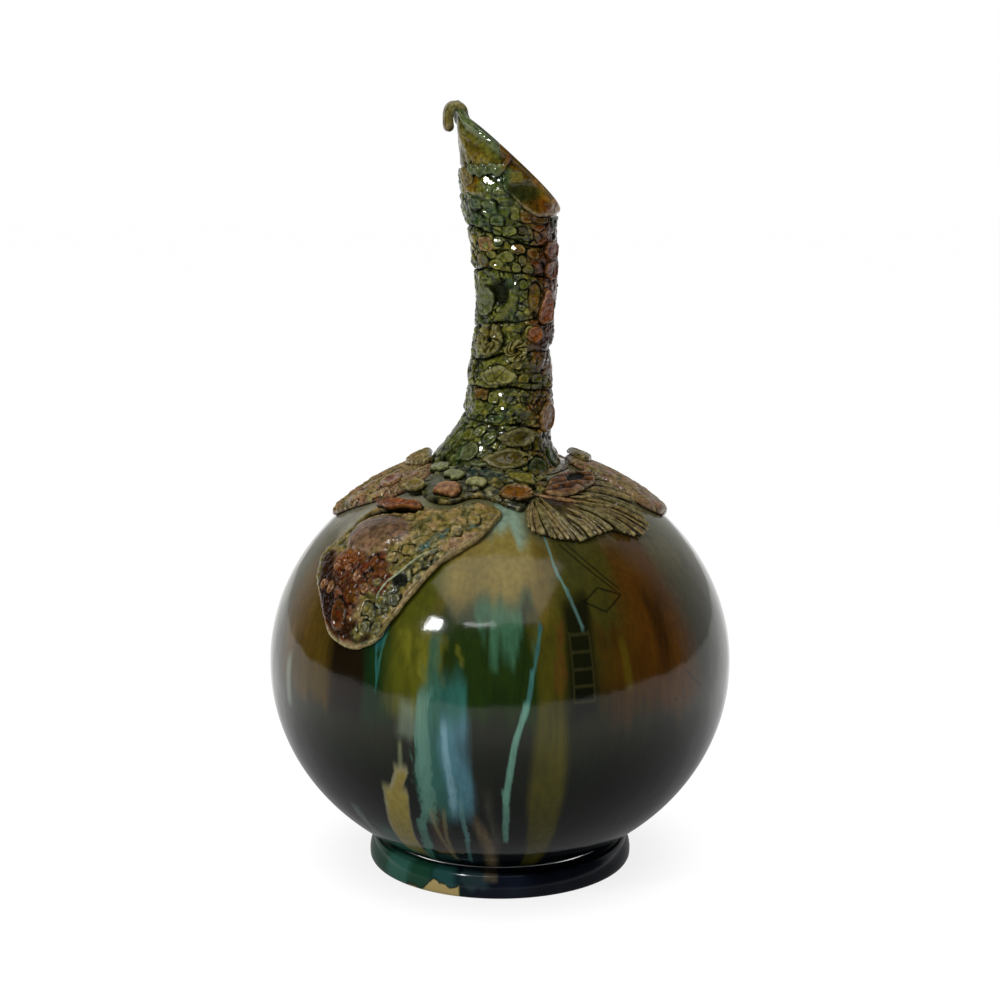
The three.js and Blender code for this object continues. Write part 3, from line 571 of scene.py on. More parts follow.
# the levels of colour wander up and down by up to 13 mm
drifted = z + 26 * (cloud(turn, z, 24, 21) - 0.5)
levels = [(8, "#05070b"), (24, "#070b0e"), (45, "#0e120f"), (80, "#14180e"), (105, "#1c1e0c"),
          (130, "#2e2c0a"), (160, "#423e16"), (190, "#5c5a3c")]
zone_colour = np.stack([np.interp(drifted, [level for level, code in levels],
                                  [linear(code)[k] for level, code in levels])
                        for k in range(3)], axis=-1)
swayed = turn + 3 * (cloud(turn, z, 30, 22) - 0.5)
frayed = (cloud(turn, z / 14, 1.6, 23) + cloud(turn, z / 9, 3.4, 24)) / 2 - 0.5
for name, code, top_az, foot_az, half, top, low, soft, end_soft, ragged, strength in [
    ("amber_right", "#432b06", 39, 41, 10, 172, 110, 9, 16, 6, 0.95),
    ("amber_right_core", "#523006", 43, 44, 4, 160, 116, 8, 16, 6, 0.6),
    ("dark_streak_right", "#1f1004", 43, 43.5, 0.8, 146, 124, 3, 14, 3, 0.6),
    ("amber_left", "#48370c", -54, -52, 11, 164, 112, 8, 12, 6, 0.9),
    ("amber_left_top", "#63491e", -63, -60, 4, 156, 134, 7, 14, 6, 0.4),
    # partly a painted shadow: the wing's shade laid into the dark brown glaze under it
    ("brown_and_painted_shadow_under_wing", "#120a03", -38, -38, 4.5, 146, 106, 5, 14, 5, 0.95),
    ("green_under_wing", "#0f2a10", -30, -29.5, 3, 152, 106, 2.5, 14, 4, 0.9),
    ("olive_beside_wing", "#494b10", -21.5, -21, 4, 174, 112, 4, 12, 5, 0.9),
    ("tan_shoulder", "#7c6c32", -2, -1, 10.5, 181, 152, 6, 4, 5, 0.85),
    ("ochre_shoulder_edge", "#5a4a14", 13, 13, 3, 178, 150, 4, 8, 5, 0.8),
    # a painted reflection: the grey sheen of the bright surround at the grazing left shoulder
    ("grey_painted_sheen_left_shoulder", "#84806c", -72, -86, 40, 208, 180, 8, 8, 3, 0.8),
    ("amber_back", "#4a3a10", 146, 144, 12, 172, 104, 9, 16, 6, 0.9),
    ("green_back", "#1c3a16", -158, -157, 9, 176, 92, 5, 16, 8, 0.85),
    ("teal_back", "#2b5c52", -141, -140, 2.6, 150, 66, 2, 14, 6, 0.7),
    ("pale_under_skirt", "#7c9480", 2, 2, 3.6, 193, 184, 5, 6, 5, 0.85),
    ("olive_right_shoulder", "#3c3c12", 24, 23, 7, 178, 150, 5, 10, 6, 0.8),
    ("green_middle", "#1b2d0b", -2, -1, 10, 150, 110, 5, 12, 8, 0.9),
    ("yellow_flecks", "#6e6c20", -17.5, -17.5, 3.4, 139, 116, 2, 5, 40, 0.5),
    ("teal_fringe", "#3f6a4e", 2.4, 2.4, 6.4, 150, 143, 1.8, 12, 22, 0.8),
    ("olive_band", "#48440f", 11.8, 11.8, 2.8, 142, 24, 2, 16, 3, 0.85),
    ("dark_band", "#0a0e04", 19.3, 18.8, 2.6, 152, 108, 1.8, 10, 3, 0.9),
    ("curtain", "#2b5c52", -13.4, -13.6, 4.2, 116, 60, 1.8, 16, 6, 0.85),
    ("curtain_blue", "#48727f", -10, -9.4, 1.6, 99, 58, 1.8, 14, 5, 0.8),
    ("smear", "#717f6a", -21.2, -21, 1.2, 110, 99, 2.2, 7, 5, 0.6),
    ("brown_feather", "#39290f", -16.4, -16.6, 1.5, 57, 26, 1, 8, 4, 0.8),
    ("tan_dribble", "#776648", -3.2, -3.6, 0.9, 42, 10, 1.6, 14, 4, 0.7),
    ("grey_dribble", "#4e4a40", -1.4, -1.2, 0.8, 60, 12, 1.6, 16, 4, 0.5),
    ("teal_low_left", "#1f4c3e", -34, -50, 3, 36, 14, 6, 8, 10, 0.8)]:
    centre = np.interp(z, [low, top], [foot_az, top_az])
    past = np.abs(swayed - centre) - half + frayed * ragged
    mask = strength * smooth(past, soft, 0) * smooth(
        z + frayed * min(ragged, 4) * 3, top + end_soft, top) * smooth(
        z + frayed * ragged * 3, low - end_soft, low)
    zone_colour += mask[:, None] * (np.array(linear(code)[:3]) - zone_colour)
# slow mottling of the whole surface
zone_colour *= (0.8 + 0.4 * cloud(turn, z / 2, 7, 25) + 0.2 * frayed)[:, None]
globe.data.attributes.new("zones", "FLOAT_COLOR", "POINT").data.foreach_set(
    "color", np.hstack([zone_colour, np.ones((len(x), 1))]).ravel().astype(np.float32))
rides(globe, "globe_glaze", "globe_lower_bowl", "globe_upper_bowl")

# Neck tube
# The built clay tube inside the cladding. It leans a little to the right at half height, is open
# all the way down, and is glazed a glossy green inside; its rim slants up to the beak on the left.

neck_stations = np.array([  # rise above the crown, sideways lean, skin radius, tube radius
    (-16, -2.6, 38, 26), (-1, -2, 31, 23), (9, 0, 25.5, 20), (23, 4.2, 21.6, 17.6),
    (43, 5, 20, 16.5), (78, 7.8, 19, 15.5), (103, 6.5, 21, 17.2), (123, 5.5, 23.3, 19.5),
    (149, 3, 23.5, 20), (180, 0.4, 23.5, 20)], float)
lean_column, skin_column, tube_column = 1, 2, 3
neck_wall = 4.5
clearance = 0.3
mouth_low, mouth_high = 122.0, 167.0
beak_azimuth, beak_rise, beak_half_angle = -75.0, 6.0, 20.0


def neck_value(rise, column):
    """Smooth lean, skin radius or tube radius of the neck at a rise above the crown."""
    x, y = neck_stations[:, 0], neck_stations[:, column]
    last = len(x) - 1
    low, high = np.maximum(np.arange(last + 1) - 1, 0), np.minimum(np.arange(last + 1) + 1, last)
    slope = (y[high] - y[low]) / (x[high] - x[low])
    i = np.clip(np.searchsorted(x, rise, side="right") - 1, 0, last - 1)
    span = x[i + 1] - x[i]
    t = np.clip((rise - x[i]) / span, 0, 1)
    return ((2 * t ** 3 - 3 * t ** 2 + 1) * y[i] + (t ** 3 - 2 * t ** 2 + t) * span * slope[i]
            + (3 * t ** 2 - 2 * t ** 3) * y[i + 1] + (t ** 3 - t ** 2) * span * slope[i + 1])


def on_neck(azimuth, rise, stand, column=skin_column):
    """Points that stand off the neck's skin or tube, at azimuths in degrees and rises in mm."""
    radius = neck_value(rise, column) + stand
    turn = np.radians(azimuth)
    return np.stack([neck_value(rise, lean_column) + radius * np.sin(turn),
                     -radius * np.cos(turn), crown + rise + 0 * turn], axis=-1)


def rim_rise(azimuth):
    """Rise of the mouth's rim, highest at the beak."""
    turn = np.arccos(np.cos(np.radians(azimuth - beak_azimuth)))
    tip = np.maximum(0, 1 - turn / np.radians(beak_half_angle))
    return mouth_low + (mouth_high - mouth_low) * (1 + np.cos(turn)) / 2 + beak_rise * tip


def seated(points, gap):
    """Points lifted, where they reach into the globe, to lie a gap above its shoulder."""
    across = np.hypot(points[..., 0], points[..., 1])
    shoulder = globe_centre + globe_half_height * np.sqrt(
        np.clip(1 - (across / (globe_radius + gap)) ** 2, 0, 1)) + gap
    points[..., 2] = np.maximum(points[..., 2], shoulder)
    return points


mouth_glaze, tree = new_material("green_majolica_glaze_of_the_bore")
place = add(tree, "ShaderNodeTexCoord", output="Object")
streaks = noise(tree, place, (160, 160, 40), 4.0)
colour = ramped(tree, streaks, [(0.32, "#1a3110"), (0.7, "#6d7038")])
dents = noise(tree, place, 160.0, 3.0)
glossy(tree, Base_Color=colour, Roughness=0.16, IOR=glaze_ior,
       Normal=bumped(tree, dents, 0.35, 0.001))

tube_sides, tube_rows = 240, 90
around = np.linspace(-180, 180, tube_sides, endpoint=False)
foot_rise = neck_stations[0, 0] + 1
heights = np.linspace(0, 1, tube_rows)[:, None]
rim_drop = 3.6  # the tube's own rim stands a little lower than the slabs rolled over it
rim_thinning = 2.5  # and its wall thins towards it
rim_round = [(-0.3, -0.2), (-0.9, 0.0), (-1.5, -0.2), (-1.8, -0.8)]  # inward and up
outside = foot_rise + (rim_rise(around) - rim_drop - 0.6 - foot_rise) * heights
loops = [on_neck(around, row, 0, tube_column) for row in outside]
loops += [on_neck(around, rim_rise(around) - rim_drop + up, inward, tube_column)
          for inward, up in rim_round]
wall = neck_wall - rim_thinning * smooth(heights[::-1], 0.93, 1)
loops += [on_neck(around, row, -thin, tube_column) for row, thin in zip(outside[::-1], wall)]
# the foot of the tube is cut to sit on the shoulder of the globe
tube = loop_solid("neck_tube_glazed", seated(np.array(loops), clearance), mouth_glaze)
rides(tube, "mouth_glaze", "neck_tube")

# Slabs round the neck
# Seven rolled clay slabs, pressed into crazed and scaly textures and wrapped round the tube one
# above the other. Green, olive and amber glaze is thin on the raised rims and black in the gaps.

band_length = 129.6  # the neck's girth, in millimetres, that the pressed patterns are laid out on
girth_scale = band_length / 360
layer_names = ("groove", "rim", "tone", "warm", "pale")
cell_jitter = 0.85  # how far the cells stray from a grid, as a share of a cell
far_away = 9.0  # farther off than any cell


def crazed(x, y, wide, high, seed, turns=None):
    """Cells of cracked clay: how far inside its cell each point is, and the cell's own number."""
    gx, gy = x / wide, y / high
    nearest = np.full(gx.shape, far_away)
    second = np.full(gx.shape, far_away)
    own = np.zeros(gx.shape)
    for dx in (-1, 0, 1):
        for dy in (-1, 0, 1):
            i, j = np.floor(gx) + dx, np.floor(gy) + dy
            wrapped = i % turns if turns else i
            px = i + 0.5 + cell_jitter * (hashed(wrapped, j, seed) - 0.5)
            py = j + 0.5 + cell_jitter * (hashed(wrapped, j, seed + 7) - 0.5)
            apart = np.hypot(gx - px, gy - py)
            closer = apart < nearest
            second = np.where(closer, nearest, np.minimum(second, apart))
            own = np.where(closer, hashed(wrapped, j, seed + 13), own)
            nearest = np.where(closer, apart, nearest)
    return second - nearest, own


def fresh_clay(x, y, wide, high, seed, depth=1.0, turns=None, warm=0.3, pale=0.35, gap=0.22):
    """Crazed clay as named layers: how far it stands out in mm, and from 0 to 1 how far it is a
    groove, a thin rim, light in tone, warm in colour and pale on its rims."""
    bend_x, bend_y = (0.65 * wide * (cloud(x, y, 0.9 * wide, seed + k) - 0.5) for k in (3, 4))
    inside, own = crazed(x + bend_x, y + bend_y, wide, high, seed, turns)
    fine = cloud(x, y, 1.0, seed + 5) - 0.5
    lumps = cloud(x, y, 2.4, seed + 6) - 0.5
    # some cracks have stayed shut, others gape
    open_crack = smooth(cloud(x, y, 3.3, seed + 8), 0.2, 0.75)
    dome = np.sqrt(1 - (1 - np.clip(inside / 0.8, 0, 1)) ** 2)
    dome = 1 - (1 - dome) * (0.25 + 0.75 * open_crack)
    # the middles of about two cells in five have sunk
    sunk = smooth(inside, gap * 1.2, gap * 3) * smooth(own, 0.5, 0.65)
    return {
        "stand": depth * (1.5 * dome - 1.3) + 0.25 * depth * (own - 0.5) - 0.4 * depth * sunk
        + 0.12 * fine + 0.7 * lumps,
        "groove": smooth(inside + 0.2 * fine, gap * 1.3, -0.02) * (0.12 + 0.88 * open_crack),
        "rim": smooth(inside, gap * 0.4, gap * 1.6) * (1 - sunk) * (0.5 + 1.6 * lumps + fine),
        "tone": 0.5 + 0.55 * (own - 0.5) + 0.5 * fine + 0.9 * lumps,
        "warm": warm + 0.15 * (own - 0.5) + 0.25 * lumps, "pale": pale + 0 * x}


def lay(clay, mask, **values):
    """Blends given layer values into the clay where the mask is 1."""
    for key, value in values.items():
        clay[key] = clay[key] * (1 - mask) + value * mask


# outlines of scales in two directions u and v: 1 on the outline and less inside it


def lens(u, v):
    """Two arcs that meet in a point at each end."""
    return np.abs(v) + u * u


def oval(u, v):
    """A plain oval."""
    return np.hypot(u, v)


def tile(u, v):
    """A square with soft corners."""
    return (np.abs(u) ** 4 + np.abs(v) ** 4) ** 0.25


def half_moon(u, v):
    """A disc cut straight along its lower side."""
    return np.maximum(np.hypot(u, v * 0.8 - 0.2), -v / 0.55)


def drop(u, v):
    """An oval that narrows upwards."""
    return np.hypot(u * (1.25 + 0.7 * v), v)


def turned_to(x, y, centre, turn):
    """Distances from a centre along and across a direction turned by some degrees."""
    cosine, sine = math.cos(math.radians(turn)), math.sin(math.radians(turn))
    dx, dy = x - centre[0], y - centre[1]
    return dx * cosine + dy * sine, dy * cosine - dx * sine


gap_share, gap_least = 0.75, 0.25  # a gap round a scale is partly shut, but never quite


def layered(clay, shape, hidden, fill=1.0):
    """The layers of the clay's face, filled up with one value for the points that are hidden."""
    return {key: np.concatenate([np.broadcast_to(clay[key], shape), np.full(hidden, fill)])
            for key in layer_names}


def press(clay, x, y, place, size, form=oval, turn=0, stand=0.5, sunk=0.5, tone=0.5, warm=0.3,
          pale=0.6, rim=0.2):
    """Presses one scale into the clay: a groove round it, a raised rim and a sunk middle."""
    along, over = turned_to(x, y, place, turn)
    u, v = along * 2 / size[0], over * 2 / size[1]
    uneven = cloud(x, y, 1.7, 171) - 0.5
    # three slow bulges, turned by the scale's own tone, make each outline its own
    outline = form(u, v) * (1 + 0.05 * np.sin(3 * np.arctan2(v, u) + 40 * tone) + 0.16 * uneven)
    groove_share = 1 + 1.2 / min(size)
    near = smooth(outline, groove_share + 0.12, groove_share - 0.08)
    body = smooth(outline, 1.1, 0.8)
    middle = smooth(outline, 1 - rim, 1 - rim - 0.3)
    open_gap = gap_least + gap_share * smooth(cloud(x, y, 3.3, 173), 0.3, 0.7)
    lay(clay, near, stand=-0.7 * open_gap + (0.7 + stand) * body - sunk * middle + 0.5 * uneven,
        groove=(1 - body) * open_gap, rim=body * (1 - middle) * (0.7 + uneven),
        tone=tone + 0.5 * uneven, warm=warm + 0.2 * uneven, pale=pale)


pooled, calmed = -0.8, 0.2  # the groove value of wet glaze, and what is left of its bump


def skin_material(name, warm_colours, rim_colours, gap_code, roughness, sparkle, wander=0.5):
    """Glaze on pressed clay: amber or olive pools, thin pale rims and dark gaps."""
    material, tree = new_material(name)
    layer = {key: add(tree, "ShaderNodeAttribute", output="Fac", attribute_name=key)
             for key in layer_names}
    place = add(tree, "ShaderNodeTexCoord", output="Object")
    speckle = noise(tree, place, 420.0, 3.0, 0.6)
    lumps = noise(tree, place, 240.0, 2.0)
    drift = calc(tree, "SUBTRACT", noise(tree, place, 80.0, 6.0, 0.7), 0.5)
    warmth = calc(tree, "MULTIPLY_ADD", drift, wander, layer["warm"])
    thick, thin = (ramped(tree, warmth, codes) for codes in (warm_colours, rim_colours))
    light = calc(tree, "MULTIPLY", spread(tree, layer["tone"], 0.0, 1.0, 0.25, 1.25),
                 spread(tree, speckle, 0.3, 0.7, 0.35, 1.45))
    middle = add(tree, "ShaderNodeVectorMath", {0: thick, "Scale": light}, operation="SCALE")
    # rims show pale only where the glaze has run thin
    bare = spread(tree, speckle, 0.38, 0.66, 0.15, 1.0)
    edge = calc(tree, "MULTIPLY", calc(tree, "MULTIPLY", layer["rim"], layer["pale"]), bare,
                clamp=True)
    dark = spread(tree, layer["groove"], 0.05, 0.85)
    colour = blend(tree, dark, blend(tree, edge, middle, thin), linear(gap_code))
    # pooled glaze, marked by a groove below nought, has levelled and lies smooth
    coarse, fine = (spread(tree, layer["groove"], pooled, -0.1, calmed * full, full)
                    for full in (sparkle, 0.4 * sparkle))
    bump = bumped(tree, speckle, fine, 0.0006, Normal=bumped(tree, lumps, coarse, 0.0022))
    # light does not reach the bottom of the gaps, so they give back no shine
    shine = spread(tree, dark, 0.0, 1.0, 0.3, 0.02)
    glossy(tree, Base_Color=colour, Roughness=roughness, IOR=1.5, Normal=bump,
           Specular_IOR_Level=shine)
    return material


neck_glaze = skin_material(
    "olive_and_amber_glaze_on_pressed_clay",
    [(0.0, "#28401a"), (0.2, "#4e5418"), (0.42, "#5c5a14"), (0.6, "#664a0e"), (0.8, "#5c2c0a"),
     (1.0, "#2c1206")],
    [(0.0, "#7c8656"), (0.4, "#908a46"), (0.75, "#8e6c34"), (1.0, "#8a5630")],
    "#070a03", 0.06, 0.6)

# the creases between the slabs: share of the mouth's low side, tilt, and the azimuth it tilts to
creases = [(0.148, 3, -90), (0.287, 1.5, -60), (0.418, 3, 60), (0.557, 3, 90), (0.746, 2, -60),
           (0.885, 6, -90)]
leaf_seam, collar_seam = mouth_high - 26, mouth_low - 4


def crease_rise(n, azimuth):
    """Rise of the crease above slab n, with the waver of a hand-cut edge."""
    waver = 0.8 * np.sin(np.radians(azimuth * 3 + 50 * n)) + 0.5 * np.sin(
        np.radians(azimuth * 7 + 90 * n))
    if n < 0:
        return neck_stations[0, 0] + 0 * azimuth
    if n == len(creases):
        toward = np.cos(np.radians(azimuth - beak_azimuth))
        return collar_seam + (leaf_seam - collar_seam) * smooth(toward, -0.4, 1)
    share, tilt, toward = creases[n]
    return share * mouth_low + tilt * np.cos(np.radians(azimuth - toward)) + waver


# flat spots where glaze has pooled and catches the light: azimuth, rise, width and height
pools = [(-23, 135.6, 8.4, 7), (-12, 32.8, 4.8, 4), (-9, 26.3, 3.2, 3), (8, 59, 3.8, 2.6),
         (-22, 17.3, 4.2, 2.2), (-2, 17.3, 4.6, 2.2), (-20, 7.4, 4, 3.2), (0, 86.3, 3.2, 4),
         (0, 103.8, 3.8, 3), (-20, 107.6, 5, 2.4), (-33, 120.5, 4.4, 2.2), (-26, 95.8, 2.6, 2.6)]
pool_stand = 0.5  # how far above the neck's skin the middle of a spot lies
pool_reach = 1.5  # the most that a point of the clay is moved to level it
pool_level = 0.97  # the share of the unevenness that is levelled


def facing(centre, toward):
    """Direction from a point in mm to a lamp or camera object."""
    way = np.array(toward.location) * 1000 - centre
    return way / np.linalg.norm(way)


def flat_pool(points, clay, x, rise, azimuth, level, wide, high):
    """Levels a spot of clay, as pooled glaze does, to the slope in which the lamp shows."""
    centre = on_neck(np.array([azimuth]), level, pool_stand)[0]
    slope = facing(centre, key_lamp) + facing(centre, camera)
    slope /= np.linalg.norm(slope)
    dx, dy = x - azimuth * girth_scale, rise - level
    mask = smooth(np.hypot(dx * 2 / wide, dy * 2 / high), 1.2, 0.7)
    off = np.clip((points - centre) @ slope, -pool_reach, pool_reach) * pool_level * mask
    clay["groove"] = clay["groove"] * (1 - mask) - mask
    return points - off[..., None] * slope


slab_sides, inner_rows = 300, 5
around_fine = np.linspace(-180, 180, slab_sides, endpoint=False)
seam_gap = 0.25  # between a slab's edge and the crease's middle line
mesh_rise = 0.45  # the height of one row of the mesh
bulge_turns = 15  # soft bulges round the neck
root_ease, root_gap = 0.7, 0.5  # the root slab's gaps to the tube and to the globe


def neck_slab(name, n):
    """A slab wrapped round the tube between two creases, with a pressed pattern on its face."""
    low = crease_rise(n - 1, around_fine) + seam_gap
    high = crease_rise(n, around_fine) - seam_gap
    count = int(np.ceil((high - low).max() / mesh_rise))
    share = np.linspace(0, 1, count)[:, None]
    rise = low + (high - low) * share
    azimuth = np.broadcast_to(around_fine, rise.shape)
    x = azimuth * girth_scale
    clay = neck_clay(name, x, rise)
    below, above = rise - low, high - rise
    # the lower edge laps over the slab beneath, the upper edge is tucked under the next
    open_seam = 0.55 + 0.45 * np.sin(np.radians(around_fine * 3 + 70 * n))
    shut = 0.3 if n == len(creases) else 1.0  # the topmost seam is smoothed over
    edge = (smooth(below, 1.3, 0) * 0.7 + smooth(above, 1.6, 0) * 1.1 * shut) * open_seam
    bulges = 1.9 * (cloud(x, rise, band_length / bulge_turns, 61, bulge_turns) - 0.5)
    # painted shade: the right of the neck, away from the key lamp, is darker
    clay["tone"] = clay["tone"] * (1 - 0.4 * smooth(azimuth, -10, 40) * smooth(azimuth, 175, 90))
    stand = clay["stand"] + 0.5 * np.sin(np.pi * share ** 0.8) + bulges - edge
    # glaze pooled in the seams and painted shade under each lap darken the slab's edges, through
    # the groove layer
    seam_pool_and_painted_shade = np.maximum(smooth(below, 0.8, 0), shut * smooth(above, 1.0, 0.1))
    clay["groove"] = np.maximum(clay["groove"], seam_pool_and_painted_shade * (0.4 + 0.6 * open_seam))
    outer = on_neck(azimuth, rise, stand)
    for pool in pools:
        outer = flat_pool(outer, clay, x, rise, *pool)
    ease = root_ease if n == 0 else clearance
    inner = [on_neck(around_fine, high + (low - high) * t, ease, tube_column)
             for t in np.linspace(0, 1, inner_rows)]
    loops = np.concatenate([outer, np.array(inner)])
    if n == 0:
        seated(loops, root_gap)
    layers = layered(clay, rise.shape, (len(inner), len(around_fine)))
    rides(loop_solid(name, loops, neck_glaze, layers), "neck_skin_glaze", name)


def pressed_in(clay, x, y, rows, form):
    """Presses a list of scales: azimuth, rise, width, height, warm, tone, pale and turn."""
    for azimuth, rise, wide, high, warm, tone, pale, turn in rows:
        press(clay, x, y, (azimuth * girth_scale, rise), (wide, high), form, turn,
              stand=0.45, tone=tone, warm=warm, pale=pale)


# the crazed clay of each slab, from the root up: cell width and height, seed, depth, cells round
# the neck, pale, warmth on the left and right of the neck and in the lighter cells, and gap
band_clays = {
    "root_band": (3.9, 5.2, 11, 1.0, 33, 0.5, 0.1, 0.4, 0.2, 0.22),
    "small_pebble_band": (3.0857, 2.9, 23, 0.8, 42, 0.6, 0.15, 0.5, 0.3, 0.26),
    "lens_band": (4.32, 3.9, 37, 0.9, 30, 0.35, 0.2, 0.55, 0.2, 0.22),
    "rosette_band": (3.6, 3.3, 41, 0.9, 36, 0.5, 0.2, 0.75, 0.2, 0.22),
    "hollow_band": (4.05, 3.8, 53, 0.8, 32, 0.4, 0.08, 0.6, 0.2, 0.22),
    "big_pebble_band": (4.8, 4.6, 67, 1.0, 27, 0.55, 0.25, 0.7, 0.25, 0.3),
    "knobbly_band": (4.8, 4.5, 79, 1.0, 27, 0.5, 0.05, 0.72, 0.2, 0.22)}
# the scales pressed into them: azimuth, rise, width, height, warm, tone, pale and turn
square_scales = {
    "small_pebble_band": [
        (-23, 31.5, 5.1, 5.8, 0.25, 0.8, 0.9, 0), (-47, 33, 5, 5, 0.55, 0.4, 0.6, 0),
        (-36, 32.5, 3.4, 5, 0.55, 0.4, 0.6, 0), (-16.5, 21.3, 7.1, 3.6, 0.08, 0.7, 0.6, 0)],
    "lens_band": [
        (19, 40.8, 5.6, 4.1, 0.45, 0.5, 0.5, 0), (19.5, 36.8, 6.6, 3, 0.35, 0.4, 0.5, 0),
        (40, 40.6, 6.2, 4.2, 0.5, 0.4, 0.4, 0), (40, 36.2, 6.2, 3.3, 0.4, 0.4, 0.4, 0),
        (60, 38.2, 6, 5.6, 0.4, 0.35, 0.3, 0), (7.5, 47.4, 5.8, 4, 0.4, 0.6, 0.7, -20)],
    "knobbly_band": [
        (18.2, 118.4, 5.7, 5.7, 0.65, 0.4, 0.9, 0), (37, 118.6, 8.2, 7, 0.7, 0.35, 0.3, 0),
        (3.2, 120, 3.8, 6.4, 0.3, 0.5, 0.6, 0), (-10.6, 121, 5.6, 5.3, 0.12, 0.6, 0.6, 0),
        (-18.5, 116.6, 6, 4.8, 0.05, 0.5, 0.6, 0), (-28.7, 123, 8, 6.2, 0.05, 0.5, 0.5, 0),
        (-46.7, 124.6, 6.6, 5.2, 0.05, 0.5, 0.5, 0)]}
oval_scales = {
    "root_band": [
        (-40, 4.6, 4, 6.5, 0.05, 0.6, 0.7, 0), (-31, 15.2, 5.5, 5.4, 0.2, 0.5, 0.8, 0),
        (-44, 13.3, 5.5, 5.8, 0.3, 0.5, 0.7, 20), (-58, 10.3, 5.5, 8.6, 0.1, 0.5, 0.6, 0),
        (-15, 12.2, 6.5, 6.3, 0.08, 0.4, 0.4, 0), (-16, 5.4, 7.5, 4.3, 0.2, 0.25, 0.2, 0),
        (40, -1, 7, 8, 0.1, 0.3, 0.3, 0), (66, 2, 6, 10, 0.1, 0.4, 0.4, 0)],
    "rosette_band": [
        (23.5, 63.1, 6.7, 6.1, 0.4, 0.6, 0.8, 0), (38, 60, 5.5, 5, 0.8, 0.7, 0.5, 0)],
    "hollow_band": [
        (27, 80.5, 6.2, 13, 0.62, 0.7, 0.3, -8), (-8.7, 87, 4.4, 3, 0.02, 0.4, 0.1, 0),
        (11, 86, 4.4, 5, 0.2, 0.6, 0.5, 0)],
    "big_pebble_band": [
        (-19, 106.6, 3.9, 3.6, 0.1, 0.6, 0.6, 0), (7.8, 103, 5.4, 5.5, 0.55, 0.6, 0.9, 0),
        (-10, 99.6, 7.4, 5.6, 0.3, 0.8, 0.8, 0), (-29.9, 100.6, 5.3, 3.8, 0.35, 0.7, 0.6, 0),
        (-24.6, 95.8, 6.7, 5.3, 0.33, 0.7, 0.7, 0), (26.5, 101, 6.3, 5.4, 0.7, 0.5, 0.7, -20),
        (10.6, 97.6, 3.6, 5.6, 0.5, 0.4, 0.6, 0), (2.5, 94, 4.9, 4.6, 0.3, 0.8, 0.7, 0),
        (-47, 97.4, 6.4, 7.6, 0.5, 0.4, 0.5, 0), (18, 93.2, 5.6, 4.6, 0.4, 0.5, 0.5, 0)],
    "knobbly_band": [
        (11.7, 112, 4.4, 3.6, 0.6, 0.2, 0.3, 0), (-2.4, 111.8, 5.4, 4.6, 0.2, 0.9, 0.8, 0),
        (-49, 116.4, 9, 7.4, 0.02, 0.45, 0.6, 0), (62, 116, 6, 7, 0.1, 0.1, 0.1, 0)]}


def amber_swirl(clay, x, y, azimuth):
    """A smooth swirl of amber glaze on the right of the rosette slab, with no cracks."""
    plain = smooth(np.hypot((azimuth - 42) / 30, (y - 53) / 6), 1.15, 0.8)
    lay(clay, plain, stand=0.1, groove=0.05, rim=0, tone=0.35)


def dark_hollow(clay, x, y, azimuth):
    """A deep hollow where the glaze has pooled to green-black, and the fold of clay beside it."""
    pool = smooth(np.hypot((azimuth + 22) / 26, (y - 82) / 8), 1.1, 0.6)
    clay["stand"] = clay["stand"] * (1 - pool) - 1.5 * pool
    clay["groove"] = np.maximum(clay["groove"], pool * 0.75)
    clay["rim"] = clay["rim"] * (1 - pool)
    # an olive fold that curls down from the right of the hollow
    bend = -4 - 22 * smooth(y, 80, 68)
    fold = smooth(np.abs(azimuth - bend) * girth_scale, 3.6, 1.6)
    fold = fold * smooth(y, 66, 69) * smooth(y, 86, 82)
    ripple = 0.5 + 0.5 * np.sin(y * 2.6 + 0.4 * x)
    lay(clay, fold, stand=0.7 + 0.25 * ripple, groove=0.15 * ripple, rim=0.3,
        tone=0.4 + 0.3 * ripple, warm=0.28, pale=0.4)


def wet_threads(clay, x, y, mask):
    """The smooth bulge under the lip, with pale glaze run down it in threads."""
    thread = 0.5 + 0.5 * np.sin(x * 3.0 + 5 * cloud(x, y / 5, 2.6, 83))
    amber = smooth(x / girth_scale, -22, -46)
    low = smooth(y, 136, 131.5)
    lay(clay, mask, stand=1.1 - 0.28 * np.clip(y - 131.5, -1, 9) - 0.06 * thread, groove=0,
        rim=0.6 * thread * low, pale=0.8, tone=0.55 + 0.2 * thread,
        warm=0.12 + 0.36 * amber + 0.2 * (cloud(x, y, 4, 85) - 0.5))


def under_lip(clay, x, y, azimuth):
    """The bulge of wet glaze at the top left of the knobbly slab."""
    edge = smooth(y + 2 * cloud(x, y, 3, 84), 129, 131.5)
    wet_threads(clay, x, y, edge * smooth(azimuth, -80, -66) * smooth(azimuth, 10, -2))


worked_before = {"rosette_band": amber_swirl, "hollow_band": dark_hollow}
worked_after = {"knobbly_band": under_lip}


def neck_clay(name, x, y):
    """The face of a neck slab, green on the left, amber on the right and mixed again behind."""
    wide, high, seed, depth, turns, pale, left, right, by_tone, gap = band_clays[name]
    clay = fresh_clay(x, y, wide, high, seed, depth, turns, pale=pale, gap=gap)
    azimuth = x / girth_scale
    amber = smooth(azimuth, -5, 50) * smooth(azimuth, 175, 90)
    clay["warm"] = left + 0.08 + (right - left + 0.06) * amber + by_tone * (clay["tone"] - 0.5)
    if name in worked_before:
        worked_before[name](clay, x, y, azimuth)
    pressed_in(clay, x, y, square_scales.get(name, []), tile)
    pressed_in(clay, x, y, oval_scales.get(name, []), oval)
    if name in worked_after:
        worked_after[name](clay, x, y, azimuth)
    return clay


for n, name in enumerate(band_clays):
    neck_slab(name, n)

# Mouth
# Two soft slabs wrapped round the rim: a pointed leaf that stands up as the beak, its edge rolled
# over, and a smooth amber collar on the right. A ruffle and a small curl of clay finish the beak.


